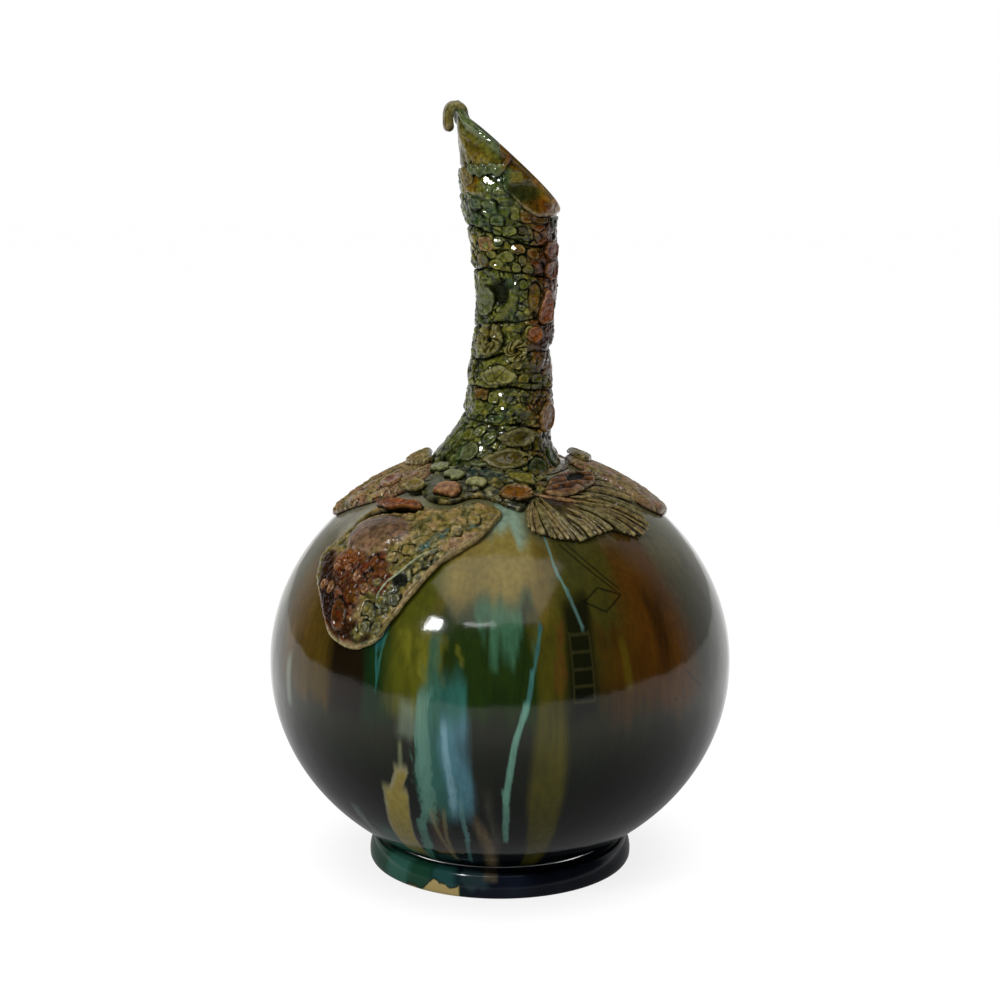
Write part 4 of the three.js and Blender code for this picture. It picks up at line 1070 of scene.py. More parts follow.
mouth_slab_glaze = skin_material(
    "green_and_amber_glaze_on_smooth_slabs",
    [(0.0, "#20331a"), (0.25, "#46552a"), (0.45, "#625c1c"), (0.65, "#6f4f10"), (0.82, "#74400f"),
     (1.0, "#33200f")],
    [(0.0, "#66714e"), (0.5, "#8b8457"), (1.0, "#857760")], "#080b05", 0.07, 0.25)
roll = 2.0  # radius of the rolled rim
roll_stand = 0.5  # how far the roll stands out from the skin
sheet_rows, sheet_turns, roll_steps = 80, 1.2, 10  # points up, per degree round, over the roll
# the wet crest of the leaf's rolled edge: azimuth, rise, width and height of each flat spot
roll_pools = [(-28, 157.0, 4.6, 2.8), (-23.5, 155.6, 4.8, 3), (-19, 154.2, 4.6, 2.8)]


def mouth_sheet(name, start, end, relief, slot):
    """A sheet wrapped round the top of the tube, from its seam up to a rolled rim."""
    turn = np.linspace(start, end, int(abs(end - start) * sheet_turns))
    low = crease_rise(len(creases), turn)[:, None] + clearance
    top = rim_rise(turn)[:, None]
    rise = low + (top - roll - low) * np.linspace(0, 1, sheet_rows)
    azimuth = np.broadcast_to(turn[:, None], rise.shape)
    depth = top - rise
    clay = relief(azimuth, rise, depth)
    bulge = roll_stand - roll + np.sqrt(np.clip(roll ** 2 - (depth - roll) ** 2, 0, None))
    surface = np.where(depth < 2 * roll, np.maximum(clay["stand"], bulge), clay["stand"])
    surface = surface - 0.5 * smooth(rise - low, 1.5, 0)
    outer = on_neck(azimuth, rise, surface)
    for pool in roll_pools:
        outer = flat_pool(outer, clay, azimuth * girth_scale, rise, *pool)
    bend = np.radians(np.linspace(15, 180, roll_steps))
    over = on_neck(turn[:, None] + 0 * bend, top - roll + roll * np.sin(bend),
                   roll_stand - roll + roll * np.cos(bend))
    back = (top - roll) + (low - top + roll) * np.linspace(0.1, 1, sheet_rows)
    inner = on_neck(turn[:, None] + 0 * back, back, clearance, tube_column)
    layers = {}
    for key in layer_names:
        layer = np.broadcast_to(clay[key], rise.shape)
        rest = np.repeat(layer[:, -1:], len(bend) + back.shape[1], axis=1)
        layers[key] = np.concatenate([layer, rest], axis=1)
    loops = np.concatenate([outer, over, inner], axis=1)
    rides(loop_solid(name, loops, mouth_slab_glaze, layers, "zipped"), slot, name)


def plain_clay(x, y, stand, warm, tone=0.5, pale=0.5, seed=5, lumps=0.5):
    """Smooth worked clay with soft lumps, as named layers."""
    uneven = cloud(x, y, 5.0, seed) - 0.5
    fine = cloud(x, y, 1.6, seed + 1) - 0.5
    return {"stand": stand + lumps * uneven + 0.12 * fine, "groove": 0 * x, "rim": 0 * x,
            "tone": tone + 0.5 * uneven + 0.25 * fine, "warm": warm + 0 * x, "pale": pale + 0 * x}


def leaf_relief(azimuth, rise, depth):
    """The leaf's face by azimuth, rise and depth below the rim."""
    x = azimuth * girth_scale
    clay = plain_clay(x, rise, -0.8, 0.47, 0.5)
    # broad soft streaks that follow the rim: amber-brown below, yellow-olive nearer the edge
    fold = np.sin(depth * 0.45 + 2 * cloud(x, rise, 9, 3))
    clay["stand"] = clay["stand"] + 0.15 * fold
    clay["tone"] = clay["tone"] + 0.2 * fold
    lay(clay, smooth(depth, 12, 8), warm=0.4, tone=1.0 + 0.2 * fold)
    lay(clay, smooth(depth, 22, 32), warm=0.42, tone=0.2)
    # the hollow under the roll
    lay(clay, np.exp(-((depth - 6.6) / 1.3) ** 2), stand=-1.2, tone=0.6, warm=0.34)
    # the rolled edge: pale olive, partly as painted light, and dark green where it ends, as painted
    # shade
    lay(clay, smooth(depth, 5.6, 4.2), warm=0.2, tone=0.9, rim=0.45, pale=0.7, groove=-0.8)
    lay(clay, smooth(depth, 2.6, 1.2) * smooth(azimuth, -48, -20), warm=0.05, tone=0.1, rim=0)
    # thin greyish glaze round the back
    lay(clay, smooth(azimuth, -72, -92) * 0.8, warm=0.3, rim=0.6, pale=0.7)
    wet_threads(clay, x, rise, smooth(rise, 140, 138) * smooth(azimuth, -80, -66))
    # the torn lower edge, where a firing crack opened above the pad
    torn = np.abs(rise - (142.6 + 1.2 * np.sin(x * 1.3) + 0.7 * np.sin(x * 3.1)))
    lay(clay, smooth(torn, 1.1, 0.3) * smooth(azimuth, -70, -60) * smooth(azimuth, -44, -50),
        groove=1.0, stand=-2.0)
    return clay


def collar_relief(azimuth, rise, depth):
    """The collar's face by azimuth, rise and depth below the rim."""
    x = azimuth * girth_scale
    clay = plain_clay(x, rise, -0.4, 0.62, 0.3, lumps=0.9)
    # orange-brown on the right
    lay(clay, smooth(depth, 3, 9) * smooth(azimuth, 20, 45), warm=0.82, tone=0.4)
    # a light streak that slants down to the right
    drift = 6 * (cloud(x, rise, 4, 87) - 0.5)
    lay(clay, smooth(np.abs(rise - 136 - drift + 0.16 * azimuth), 3.4, 1) * smooth(azimuth, 0, 25),
        warm=0.68, tone=0.95)
    # a dark pool low in the middle, and a green one beside the leaf
    pool = smooth(np.hypot((azimuth - 16) / 26, (rise - 130.5 + drift / 4) / 5), 1.3, 0.5)
    lay(clay, 0.85 * pool, warm=0.3, tone=0.0, stand=-1.0, groove=0.35)
    green = smooth(np.hypot((azimuth + 4) / 12, (rise - 138) / 5), 1.3, 0.5)
    lay(clay, green, warm=0.25, tone=0.5)
    wet_threads(clay, x, rise, smooth(azimuth, -1, -4) * smooth(rise, 141, 138))
    # pale where the glaze is thin: along the lower edge and down a line on the right
    edge = rise - crease_rise(len(creases), azimuth)
    lay(clay, smooth(edge, 2.4, 1.4) * smooth(azimuth, 70, 55) * smooth(azimuth, -2, 8),
        rim=0.8, pale=0.8, tone=0.5)
    lay(clay, smooth(np.abs(azimuth - 60), 5, 1.5) * smooth(depth, 2, 6), rim=0.7, pale=0.7)
    # a chip of clay pressed on, and thin greyish glaze round the back
    chip = smooth(tile((x / girth_scale - 9.5) / 7.5, (rise - 137.2) / 2.6), 1.15, 0.85)
    lay(clay, chip, stand=0.5, tone=0.6, warm=0.5, rim=0.35, pale=0.6, groove=0)
    lay(clay, smooth(azimuth, 85, 105), warm=0.35, tone=0.6, rim=0.5)
    return clay


leaf_front, leaf_back, seam_turn = -8.0, -198.0, 0.8  # degrees round the neck
mouth_sheet("beak_leaf", leaf_back, leaf_front, leaf_relief, "leaf_glaze")
mouth_sheet("mouth_collar", leaf_front + seam_turn, leaf_back + 360 - seam_turn, collar_relief,
            "amber_glaze")

# the ruffle: a thin ragged lip of clay that the leaf's lower edge makes as it folds outwards,
# and which climbs to the rim where leaf and collar meet
lip_start, lip_end = -54, 6
lip_rows, lip_sides = 130, 24
turn = np.linspace(lip_start, lip_end, lip_rows)
climb = smooth(turn, -12, 5)
level = 140.4 + 0.5 * np.sin(turn * 0.21) + 0.3 * np.sin(turn * 0.6 + 1) + 5.4 * climb
width = 2.9 + 0.4 * np.sin(turn * 0.33) + 0.22 * np.sin(turn * 1.1) - 0.9 * climb
loops, around = [], np.linspace(0, 2 * math.pi, lip_sides, endpoint=False)
for azimuth, centre, half in zip(turn, level, width):
    # thin at both ends
    taper = min(1, (azimuth - lip_start + 0.5) / 5, (lip_end + 0.6 - azimuth) / 4)
    reach = 0.5 + 0.18 * math.sin(azimuth * 0.45) + 0.5 * smooth(azimuth, -6, 3)
    twist = 0.5 * np.sin(around) * math.sin(azimuth * 0.6)
    loops.append(on_neck(azimuth + 0 * around, centre + half * taper * np.sin(around),
                         reach + taper * np.cos(around) + twist))
across = 0 * climb[:, None] + around
climb = climb[:, None] + 0 * around
# painted shade: the lower half of the lip is darkened through its groove layer
lip = loop_solid("fold_lip", loops, mouth_slab_glaze, {
    "groove": smooth(np.sin(across), -0.6, -1.0), "rim": 0.45 + 0.3 * np.sin(across),
    "tone": 0.5 - 0.35 * climb, "warm": 0.2 + 0.7 * climb, "pale": 0.7 - 0.7 * climb}, "zipped")
rides(lip, "leaf_glaze", "fold_lip")

# the curl: the tip of the leaf, drawn out and bent over to the left like the end of a fern
curl_path = np.array([  # outwards from the skin, rise from the tip, half thickness, width
    (-4.8, -7.0, 1.5, 6.5), (-3.6, -4.6, 2.0, 8), (-1.8, -3.2, 2.3, 9), (0.4, -2.7, 2.4, 9.4),
    (2.3, -3.6, 2.4, 9.2), (3.3, -5.8, 2.3, 8.8), (3.6, -8.6, 2.2, 8.2), (3.5, -11.2, 2.3, 7.6),
    (3.2, -13.0, 2.2, 6.6), (3.0, -14.2, 1.6, 5), (2.9, -14.9, 0.5, 2.5)])


def eased(stations, count):
    """Stations resampled to a smooth run through them, by arc position (Catmull-Rom)."""
    stations = np.asarray(stations, float)
    padded = np.vstack([2 * stations[0] - stations[1], stations, 2 * stations[-1] - stations[-2]])
    at = np.linspace(0, len(stations) - 1, count)
    i = np.minimum(at.astype(int), len(stations) - 2)
    t = (at - i)[:, None]
    a, b, c, d = (padded[i + k] for k in range(4))
    return 0.5 * (2 * b + (c - a) * t + (2 * a - 5 * b + 4 * c - d) * t ** 2
                  + (3 * b - a - 3 * c + d) * t ** 3)


curl_rows, curl_sides = 70, 36
path = eased(curl_path, curl_rows)
ahead = np.gradient(path[:, :2], axis=0)
ahead /= np.linalg.norm(ahead, axis=1)[:, None]
share = np.linspace(0, 2 * math.pi, curl_sides, endpoint=False)
across = np.sign(np.cos(share)) * np.abs(np.cos(share)) ** 0.7
thick = np.sign(np.sin(share)) * np.abs(np.sin(share)) ** 0.8
# fine lengthwise striations where the fingers drew the clay out
striations = np.sin(across * 16)
turn = math.radians(beak_azimuth)
tip = rim_rise(np.array([beak_azimuth]))[0]
root = tip - 4  # the rise at which the curl leaves the skin
loops = []
for (out, rise, half, width), (dx, dz) in zip(path, ahead):
    bulk = half * thick * (1 + 0.07 * striations)
    reach = neck_value(root, skin_column) + out - dz * bulk
    side = across * width / 2
    loops.append(np.stack([
        neck_value(root, lean_column) + reach * math.sin(turn) + side * math.cos(turn),
        -reach * math.cos(turn) + side * math.sin(turn), crown + tip + rise + dx * bulk], axis=-1))
along = np.linspace(0, 1, len(path))[:, None] + 0 * share
light = 0.4 + 0.25 * striations + 0 * along
curl = loop_solid("beak_curl", loops, mouth_slab_glaze, {
    "groove": 0 * light, "rim": smooth(along, 0.9, 0.3) * np.clip(light + 0.3, 0, 1),
    "tone": light + 0.1 - 0.25 * smooth(along, 0.4, 0.9), "warm": 0.5 + 0 * light,
    "pale": 1.0 + 0 * light}, "zipped")
rides(curl, "leaf_glaze", "beak_curl")

# Slabs on the shoulder
# Rolled slabs of textured clay laid over the shoulder round the neck, their edges thick and
# rolled: a skirt in front, a long wing on the left, a ribbed fan on the right and rougher slabs
# behind. The glaze on them is thin and dry, tan and red-brown, with a streak of turquoise.

chart_radius = 112.0  # arc lengths from the crown are laid out flat with this mean radius


def chart(azimuth, latitude):
    """Flat place, in millimetres from the crown, of a point on the globe."""
    reach, turn = chart_radius * np.radians(90 - np.asarray(latitude, float)), np.radians(azimuth)
    return np.stack([reach * np.sin(turn), -reach * np.cos(turn)], axis=-1)


def charted(points):
    """Flat places of a list of azimuths and latitudes."""
    return chart(*np.array(points, float).T)


def on_globe(x, y, stand):
    """Points that stand off the globe over flat places x and y."""
    reach = np.hypot(x, y)
    radius, level = meridian(90 - np.degrees(reach / chart_radius), stand)
    share = radius / np.maximum(reach, 1e-6)
    return np.stack([x * share, y * share, level + 0 * x], axis=-1)


tiny = 1e-9  # keeps a division from failing
slab_mesh = 0.62  # spacing of the mesh of a slab laid on the shoulder
row_share = 0.866  # the spacing of rows of even triangles, as a share of their sides
edge_wave, edge_undercut = 0.35, 0.8  # how ragged its edge is, and how far cut in below


def cut_outline(corners, spacing, ragged, seed):
    """An even, slightly ragged closed outline that runs smoothly through the corners."""
    corners = np.asarray(corners, float)
    after = np.roll(corners, -1, axis=0)
    if (corners[:, 0] * after[:, 1] - after[:, 0] * corners[:, 1]).sum() < 0:
        corners = corners[::-1]
    run = eased(np.vstack([corners[-2:], corners, corners[:3]]), (len(corners) + 4) * 12 + 1)
    run = run[24:-24]
    steps = np.linalg.norm(np.diff(run, axis=0), axis=1)
    length = np.concatenate([[0], np.cumsum(steps)])
    at = np.linspace(0, length[-1], int(length[-1] / spacing), endpoint=False)
    even = np.stack([np.interp(at, length, run[:, k]) for k in (0, 1)], axis=-1)
    out = outward(even)
    wave = cloud(even[:, 0], even[:, 1], 3.2, seed) + cloud(even[:, 0], even[:, 1], 1.3, seed + 1)
    return even + out * (ragged * (wave - 1))[:, None]


def outward(outline):
    """Unit directions that point out of a closed anticlockwise outline."""
    ahead = np.roll(outline, -1, axis=0) - np.roll(outline, 1, axis=0)
    ahead /= np.linalg.norm(ahead, axis=1)[:, None]
    return np.stack([ahead[:, 1], -ahead[:, 0]], axis=-1)


def within(points, outline):
    """Distance in from the outline, below 0 outside it, and the direction to the nearest edge."""
    start, end = outline, np.roll(outline, -1, axis=0)
    along = end - start
    chunk = 2000  # points worked on at a time, to spare memory
    depth, toward = np.empty(len(points)), np.empty((len(points), 2))
    for first in range(0, len(points), chunk):
        batch = points[first:first + chunk, None]
        share = np.clip(((batch - start) * along).sum(-1) / (along ** 2).sum(-1), 0, 1)
        apart = start + along * share[..., None] - batch
        distance = np.linalg.norm(apart, axis=-1)
        nearest = distance.argmin(axis=1)
        rows = np.arange(len(nearest))
        x, y = batch[..., 0], batch[..., 1]
        # a point is inside if a line from it crosses the outline an odd number of times
        crossed = ((start[:, 1] > y) != (end[:, 1] > y)) & (
            x - start[:, 0] < along[:, 0] * (y - start[:, 1])
            / np.where(along[:, 1] == 0, tiny, along[:, 1]))
        inside = crossed.sum(axis=1) % 2 == 1
        depth[first:first + chunk] = np.where(inside, 1, -1) * distance[rows, nearest]
        toward[first:first + chunk] = apart[rows, nearest]
    return depth, toward / np.maximum(np.linalg.norm(toward, axis=1), tiny)[:, None]


def laid_slab(name, corners, relief, slot, base, thickness, seed):
    """A slab cut to an outline and laid on the globe, with relief(x, y, depth) on its face."""
    outline = cut_outline(corners, slab_mesh, edge_wave, seed)
    low, high = outline.min(axis=0), outline.max(axis=0)
    # an even mesh of triangles inside the outline
    x, y = np.meshgrid(np.arange(low[0], high[0], slab_mesh),
                       np.arange(low[1], high[1], slab_mesh * row_share))
    x[1::2] += slab_mesh / 2
    grid = np.stack([x.ravel(), y.ravel()], axis=-1)
    depth, toward = within(grid, outline)
    kept = depth > 0.55 * slab_mesh  # points nearer the edge would make slivers
    flat = np.vstack([outline, grid[kept]])
    depth = np.concatenate([np.zeros(len(outline)), depth[kept]])
    toward = np.vstack([outward(outline), toward[kept]])
    rim = len(outline)
    made = delaunay_2d_cdt([Vector(point) for point in flat.tolist()],
                           [(i, (i + 1) % rim) for i in range(rim)], [], 1, 1e-5)
    given = np.array([ids[0] for ids in made[3]])
    place_of = np.full(len(flat), -1)
    place_of[given] = np.arange(len(given))
    faces = place_of[given][np.array(made[2])]
    flat, depth, toward = flat[given], depth[given], toward[given]
    edge = place_of[:rim]
    x, y = flat.T
    clay = relief(x, y, depth)
    # the face rounds over towards its edge, where the relief fades out
    rounded = np.sqrt(np.clip(1 - (1 - np.clip(depth / thickness, 0, 1)) ** 2, 0, 1))
    stand = base + thickness * (0.3 + 0.7 * rounded) + clay["stand"] * smooth(depth, 0, 1.6)
    stand = np.maximum(stand, base + 0.5)
    # the underside is a little smaller than the face
    inward = toward * (edge_undercut * np.clip(1 - depth / 2.4, 0, 1))[:, None]
    top = on_globe(x, y, stand)
    bottom = on_globe(*(flat - inward).T, base)
    count = len(flat)
    after = np.roll(edge, -1)
    sides = np.stack([edge, edge + count, after + count, after], axis=-1)
    slab = mesh_object(name, np.vstack([top, bottom]),
                       faces.tolist() + (faces[:, ::-1] + count).tolist() + sides.tolist(),
                       slab_glaze, layered(clay, x.shape, count))
    tidy_mesh(slab)
    rides(slab, slot, name)


def spot(x, y, azimuth, latitude, wide, high, turn=0, soft=0.3):
    """Mask of an oval spot on the shoulder, turned from the horizontal."""
    along, over = turned_to(x, y, chart(azimuth, latitude), azimuth + turn)
    return smooth(np.hypot(along * 2 / wide, over * 2 / high), 1 + soft, 1 - soft)


def daub(clay, x, y, where, strength=1, **values):
    """Lays layer values into the clay over an oval spot of a given strength."""
    lay(clay, strength * spot(x, y, *where), **values)


streak_points = 40


def streak(x, y, points, width):
    """Mask of a streak that runs through azimuths and latitudes."""
    line = eased(charted(points), streak_points)
    apart = np.full(np.shape(x), np.inf)
    for start, way in zip(line[:-1], np.diff(line, axis=0)):
        dx, dy = x - start[0], y - start[1]
        share = np.clip((dx * way[0] + dy * way[1]) / (way ** 2).sum(), 0, 1)
        apart = np.minimum(apart, np.hypot(dx - share * way[0], dy - share * way[1]))
    return smooth(apart, width, width * 0.35)


def stamp(clay, x, y, rows, form=oval, **look):
    """Presses scales into a slab: azimuth, latitude, width, height, warm, tone, pale and turn."""
    for azimuth, latitude, wide, high, warm, tone, pale, turn in rows:
        press(clay, x, y, chart(azimuth, latitude), (wide, high), form, azimuth + turn,
              tone=tone, warm=warm, pale=pale, **look)


slab_glaze = skin_material(
    "thin_dry_glaze_on_shoulder_slabs",
    [(0.0, "#2c6a60"), (0.12, "#5c6450"), (0.28, "#565222"), (0.42, "#7c6c32"), (0.54, "#876f44"),
     (0.64, "#7c5a48"), (0.74, "#7c4c10"), (0.86, "#6c2a08"), (1.0, "#220c05")],
    [(0.0, "#96a686"), (0.5, "#a79868"), (1.0, "#9c7044")], "#0b0a05", 0.2, 0.45, wander=0.06)


def skirt_relief(x, y, depth):
    """Pebbles under an olive glaze, smoother and greyer at the left."""
    clay = fresh_clay(x, y, 7.4, 6.6, 91, 1.0, warm=0.3, pale=0.45, gap=0.2)
    neck_side = smooth(np.hypot(x, y), 52, 36)
    clay["warm"] = clay["warm"] - 0.12 * neck_side
    clay["tone"] = clay["tone"] - 0.25
    grey = np.maximum(spot(x, y, -30, 63, 22, 12), spot(x, y, -36, 68, 16, 14))
    lay(clay, grey, stand=-1.0, warm=0.2, tone=0.5, groove=0.1, rim=0.0)
    daub(clay, x, y, (6, 66, 12, 10), warm=0.3, tone=0.4)
    return clay


def wing_relief(x, y, depth):
    """Small pressed scales in several glazes, round a smooth hump."""
    clay = fresh_clay(x, y, 6.4, 5.8, 103, 0.55, warm=0.42, pale=0.45, gap=0.12)
    clay["tone"], clay["groove"] = 0.35 + 0.5 * clay["tone"], 0.5 * clay["groove"]
    # the lower left field: iron-red glaze over ringed scales
    red = np.maximum(spot(x, y, -46, 34, 36, 25), spot(x, y, -45, 26, 30, 22))
    red = np.maximum(red, spot(x, y, -37.5, 38, 17, 12))
    small = fresh_clay(x, y, 4.4, 4.2, 107, 0.9, warm=0.84, pale=0.2, gap=0.24)
    small["tone"] = small["tone"] * 0.5
    lay(clay, red, **small)
    daub(clay, x, y, (-49, 37.6, 15, 9, 14), 0.8, warm=0.8, tone=0.8, groove=0.15)
    shade = np.maximum(spot(x, y, -50, 27, 14, 26, 20), spot(x, y, -33, 33, 16, 12))
    lay(clay, shade * 0.8, warm=0.98, tone=0.05)
    daub(clay, x, y, (-57, 33, 10, 22, 20), 0.8, warm=0.3, tone=0.2)
    # the dark red margin that runs round the lower left end
    margin = streak(x, y, [(-34, 20), (-42, 20.5), (-47.5, 25), (-53, 30), (-58, 36)], 7)
    lay(clay, 0.85 * margin, warm=0.9, tone=-0.1, groove=0.6, rim=0)
    daub(clay, x, y, (-35, 19.5, 15, 8), 0.7, warm=0.4, tone=0.0, groove=0.6, rim=0)
    # the strip of wet olive scales between the raised line and the lower edge
    strip = streak(x, y, [(-18, 42), (-25.5, 37), (-29, 32), (-30, 28), (-33, 23.5),
                          (-36, 20)], 5.5)
    wet = fresh_clay(x, y, 5.4, 5.4, 109, 1.1, warm=0.26, pale=0.6, gap=0.3)
    lay(clay, strip, **wet)
    daub(clay, x, y, (-28, 34.4, 9, 7), groove=0.8, tone=0.1, warm=0.12)
    # the hump, thumbed up smooth and streaked mauve
    along, over = turned_to(x, y, chart(-44, 46), -43 + 14)
    u, v = along / 19, over / 11
    dome = smooth(np.hypot(u, v), 1.12, 0.85)
    drawn = cloud(3 * u + 2.2 * v, 8 * v - 5 * u, 1, 105) - 0.5
    lay(clay, dome, groove=0, rim=0.12 + 0.3 * drawn, warm=0.61 + 0.08 * drawn,
        tone=0.25 + 0.5 * drawn - 0.3 * v, pale=0.6, stand=0.0)
    clay["stand"] = clay["stand"] + 3.6 * np.clip(1 - u * u - v * v, 0, 1) ** 0.7
    # a crease cut above the hump, darkened through its groove layer as a painted shadow of the fold
    fold = streak(x, y, [(-60, 45), (-54.5, 50.8), (-46, 53.4), (-36, 54.6)], 2.6)
    lay(clay, fold, groove=1.0, stand=-2.6)
    # a streak of turquoise that has run along the cracks, and pinkish patches below it
    teal = streak(x, y, [(-8, 52), (-12.2, 50.5), (-19.7, 47.9), (-23.4, 44.5), (-27, 42)], 3.6)
    lay(clay, teal * (0.35 + 0.65 * smooth(cloud(x, y, 2.5, 6), 0.35, 0.7)), warm=0.04, tone=0.45)
    pink = np.maximum(spot(x, y, -16, 44.8, 11, 5, 30), spot(x, y, -11, 47.6, 8, 5, 30))
    lay(clay, pink * 0.8, warm=0.62, tone=0.75)
    # the ringed scales of the red field
    stamp(clay, x, y, [(-51.9, 35.1, 5.4, 5.6, 0.85, 0.7, 1.2, 0),
                       (-46.9, 35.3, 4.6, 4.4, 0.85, 0.6, 1.2, 0),
                       (-42.1, 33.6, 4.8, 5.4, 0.85, 0.5, 1.2, 10),
                       (-37.8, 31.1, 5.4, 5.6, 0.8, 0.4, 1.2, 0),
                       (-34.5, 33.2, 4.6, 3.4, 0.4, 0.4, 0.5, 20),
                       (-53.4, 29.6, 5.2, 5.4, 0.84, 0.4, 1.2, 0),
                       (-50.0, 29.2, 4.6, 6.4, 0.84, 0.45, 1.2, 10),
                       (-45.5, 27.4, 4.8, 9.6, 0.86, 0.5, 0.5, 30)], sunk=0.9, rim=0.42)
    # a long scale with fine ribs drawn along it, dark under the iron glaze
    stamp(clay, x, y, [(-43.4, 23.4, 10, 17, 0.8, 0.15, 0.2, 32)], sunk=0.2, rim=0.2)
    ribs = np.sin(turned_to(x, y, chart(-43.4, 23.4), -43.4 + 32)[0] * 5.2)
    lay(clay, spot(x, y, -43.4, 23.4, 8, 14, 32), groove=0.55 * smooth(ribs, 0.2, 0.8))
    # square scales on the strip and beside the turquoise streak
    stamp(clay, x, y, [(-34.7, 26.2, 6.6, 6.4, 0.3, 0.6, 0.4, 0),
                       (-33.9, 21.9, 5.8, 5.4, 0.27, 0.5, 0.6, 0),
                       (-30.9, 22.0, 6.0, 5.8, 0.27, 0.5, 0.5, 0),
                       (-31.5, 28.4, 6.6, 5.6, 0.25, 0.5, 0.8, 0),
                       (-28.0, 29.4, 6.2, 5.4, 0.25, 0.4, 0.7, 0),
                       (-15.0, 49.4, 5.6, 5.4, 0.4, 0.7, 0.6, 0),
                       (-9.6, 53.0, 5.8, 5.0, 0.42, 0.8, 0.5, 0),
                       (-29.2, 42.7, 6.4, 5.4, 0.42, 0.7, 0.7, 0),
                       (-33.1, 40.2, 6.2, 5.0, 0.45, 0.5, 0.8, 0)], tile, sunk=0.35)
    lay(clay, smooth(depth, 2.6, 1.0) * smooth(np.hypot(x, y), 62, 70), rim=0.8, pale=0.8,
        tone=0.6)
    return clay


def rough_relief(x, y, depth, warm=0.56, seed=113, size=6.6):
    """Torn layers, like bark, that run down the shoulder."""
    clay = fresh_clay(x, y, size, size * 0.86, seed, 0.9, warm=warm, pale=0.5, gap=0.2)
    torn = np.degrees(np.arctan2(x, -y)) / 5.2 + 2.2 * cloud(x, y, 8, seed + 1)
    step = torn - np.floor(torn)
    clay["stand"] = 0.4 * clay["stand"] + 1.7 * step * smooth(step, 1, 0.88) - 0.6
    clay["groove"] = np.maximum(0.3 * clay["groove"], 0.8 * smooth(step, 0.16, 0.02))
    clay["rim"] = 0.8 * smooth(step, 0.55, 0.85)
    clay["tone"] = 0.15 + 0.4 * clay["tone"] + 0.4 * step
    return clay


def fan_relief(x, y, depth):
    """The ground between the ribs, painted dark as their shade, with the slit and the cavity."""
    clay = plain_clay(x, y, -0.9, 0.46, 0.3, 0.3, 121, 0.8)
    daub(clay, x, y, (27, 60, 18, 9, -30), warm=0.72, tone=0.5, stand=0.2)
    daub(clay, x, y, (21, 65.4, 13, 9), groove=0.7, tone=0.1)
    # painted shade: darker still towards the edges, where the ribs stand
    lay(clay, smooth(depth, 22, 8) * 0.85, groove=0.75, tone=0.1)
    daub(clay, x, y, (47, 56.4, 11, 5.2, -12, 0.2), warm=0.15, tone=0.15, stand=-2.2,
         groove=0.4)
    daub(clay, x, y, (46, 66.5, 14, 7, 10, 0.2), groove=1.0, stand=-2.4)
    return clay


def leaf_fold_relief(x, y, depth):
    """A veined fold with a worn edge, over the same cavity."""
    clay = plain_clay(x, y, -0.3, 0.7, 0.25, 0.5, 131, 1.2)
    vein = np.sin(1.3 * (x * 0.5 - y * 0.86) + 6 * cloud(x, y, 6, 133))
    clay["stand"] = clay["stand"] + 0.55 * vein
    clay["tone"] = clay["tone"] + 0.25 * vein
    clay["groove"] = 0.6 * smooth(vein, -0.6, -1)
    lay(clay, smooth(depth, 2.2, 0.8), rim=0.7, pale=0.75)
    daub(clay, x, y, (47, 65.6, 15, 6, 14, 0.25), groove=1.0, stand=-2.3)
    return clay


def flap_relief(x, y, depth):
    """A finer torn face with a raised, worn edge."""
    clay = rough_relief(x, y, depth, 0.45, 141, 5.0)
    lay(clay, smooth(depth, 2.4, 0.8), rim=0.6, stand=0.8)
    return clay


outlines = {
    "root_skirt": [(-50, 66), (-41, 61), (-30, 58.8), (-22, 59.2), (-14, 61.8), (-6, 61.4), (2, 59),
                   (9, 57), (14, 61), (20, 66), (24, 71), (5, 75), (-20, 75.5), (-44, 74),
                   (-51, 70)],
    "left_wing_slab": [(1, 56), (-6, 48.5), (-12.2, 43.9), (-17.8, 39.9), (-22.4, 33.9),
                       (-25.3, 29.2), (-28.1, 23.6), (-30.7, 18.7), (-37, 15.8), (-44.2, 17.2),
                       (-48, 20.6), (-53, 25.5), (-60, 31), (-64, 37), (-61, 42.5), (-60, 48.5),
                       (-57, 53.4), (-49.5, 56.6), (-40, 57.6), (-31, 56.6), (-22, 57),
                       (-15, 59.4), (-7, 59.2)],
    "left_back_slab": [(-54, 61), (-53, 66), (-57, 71), (-80, 73.5), (-105, 71.5), (-120, 62),
                       (-112, 52), (-100, 46.5), (-90, 44.5), (-80, 48.5), (-70, 53), (-60, 57)],
    "fan_slab": [(11, 54), (12, 50), (19, 47.6), (28, 46.2), (36, 47.4), (42.5, 47.8), (48, 45.6),
                 (55, 44.8), (60.5, 46.6), (64, 51), (69.5, 57), (64, 64), (48, 68.5), (32, 68.5),
                 (25, 65.5), (18, 60)],
    "right_back_slab": [(74, 52), (79, 48), (86, 45.4), (94, 45), (103, 46.8), (115, 53), (128, 61),
                        (126, 69), (108, 72.5), (86, 72), (76, 67), (74, 59)],
    "rear_slab": [(140, 61), (149, 52.5), (168, 48), (190, 50), (208, 54), (221, 61), (216, 70),
                  (196, 74), (165, 74), (146, 70)],
    "folded_leaf": [(22, 61), (30, 59.2), (42, 60.5), (56, 62.5), (61, 66), (50, 68), (35, 67.5),
                    (27, 65)],
    "root_flap_left": [(-68, 70), (-88, 67), (-112, 68), (-118, 71), (-104, 73), (-84, 73.5),
                       (-70, 73)],
    "root_flap_right": [(88, 69), (102, 67), (120, 67.5), (124, 70), (110, 72), (94, 72)],
}
upper_layer = 3.7  # flaps that lie on a slab start this far off the globe
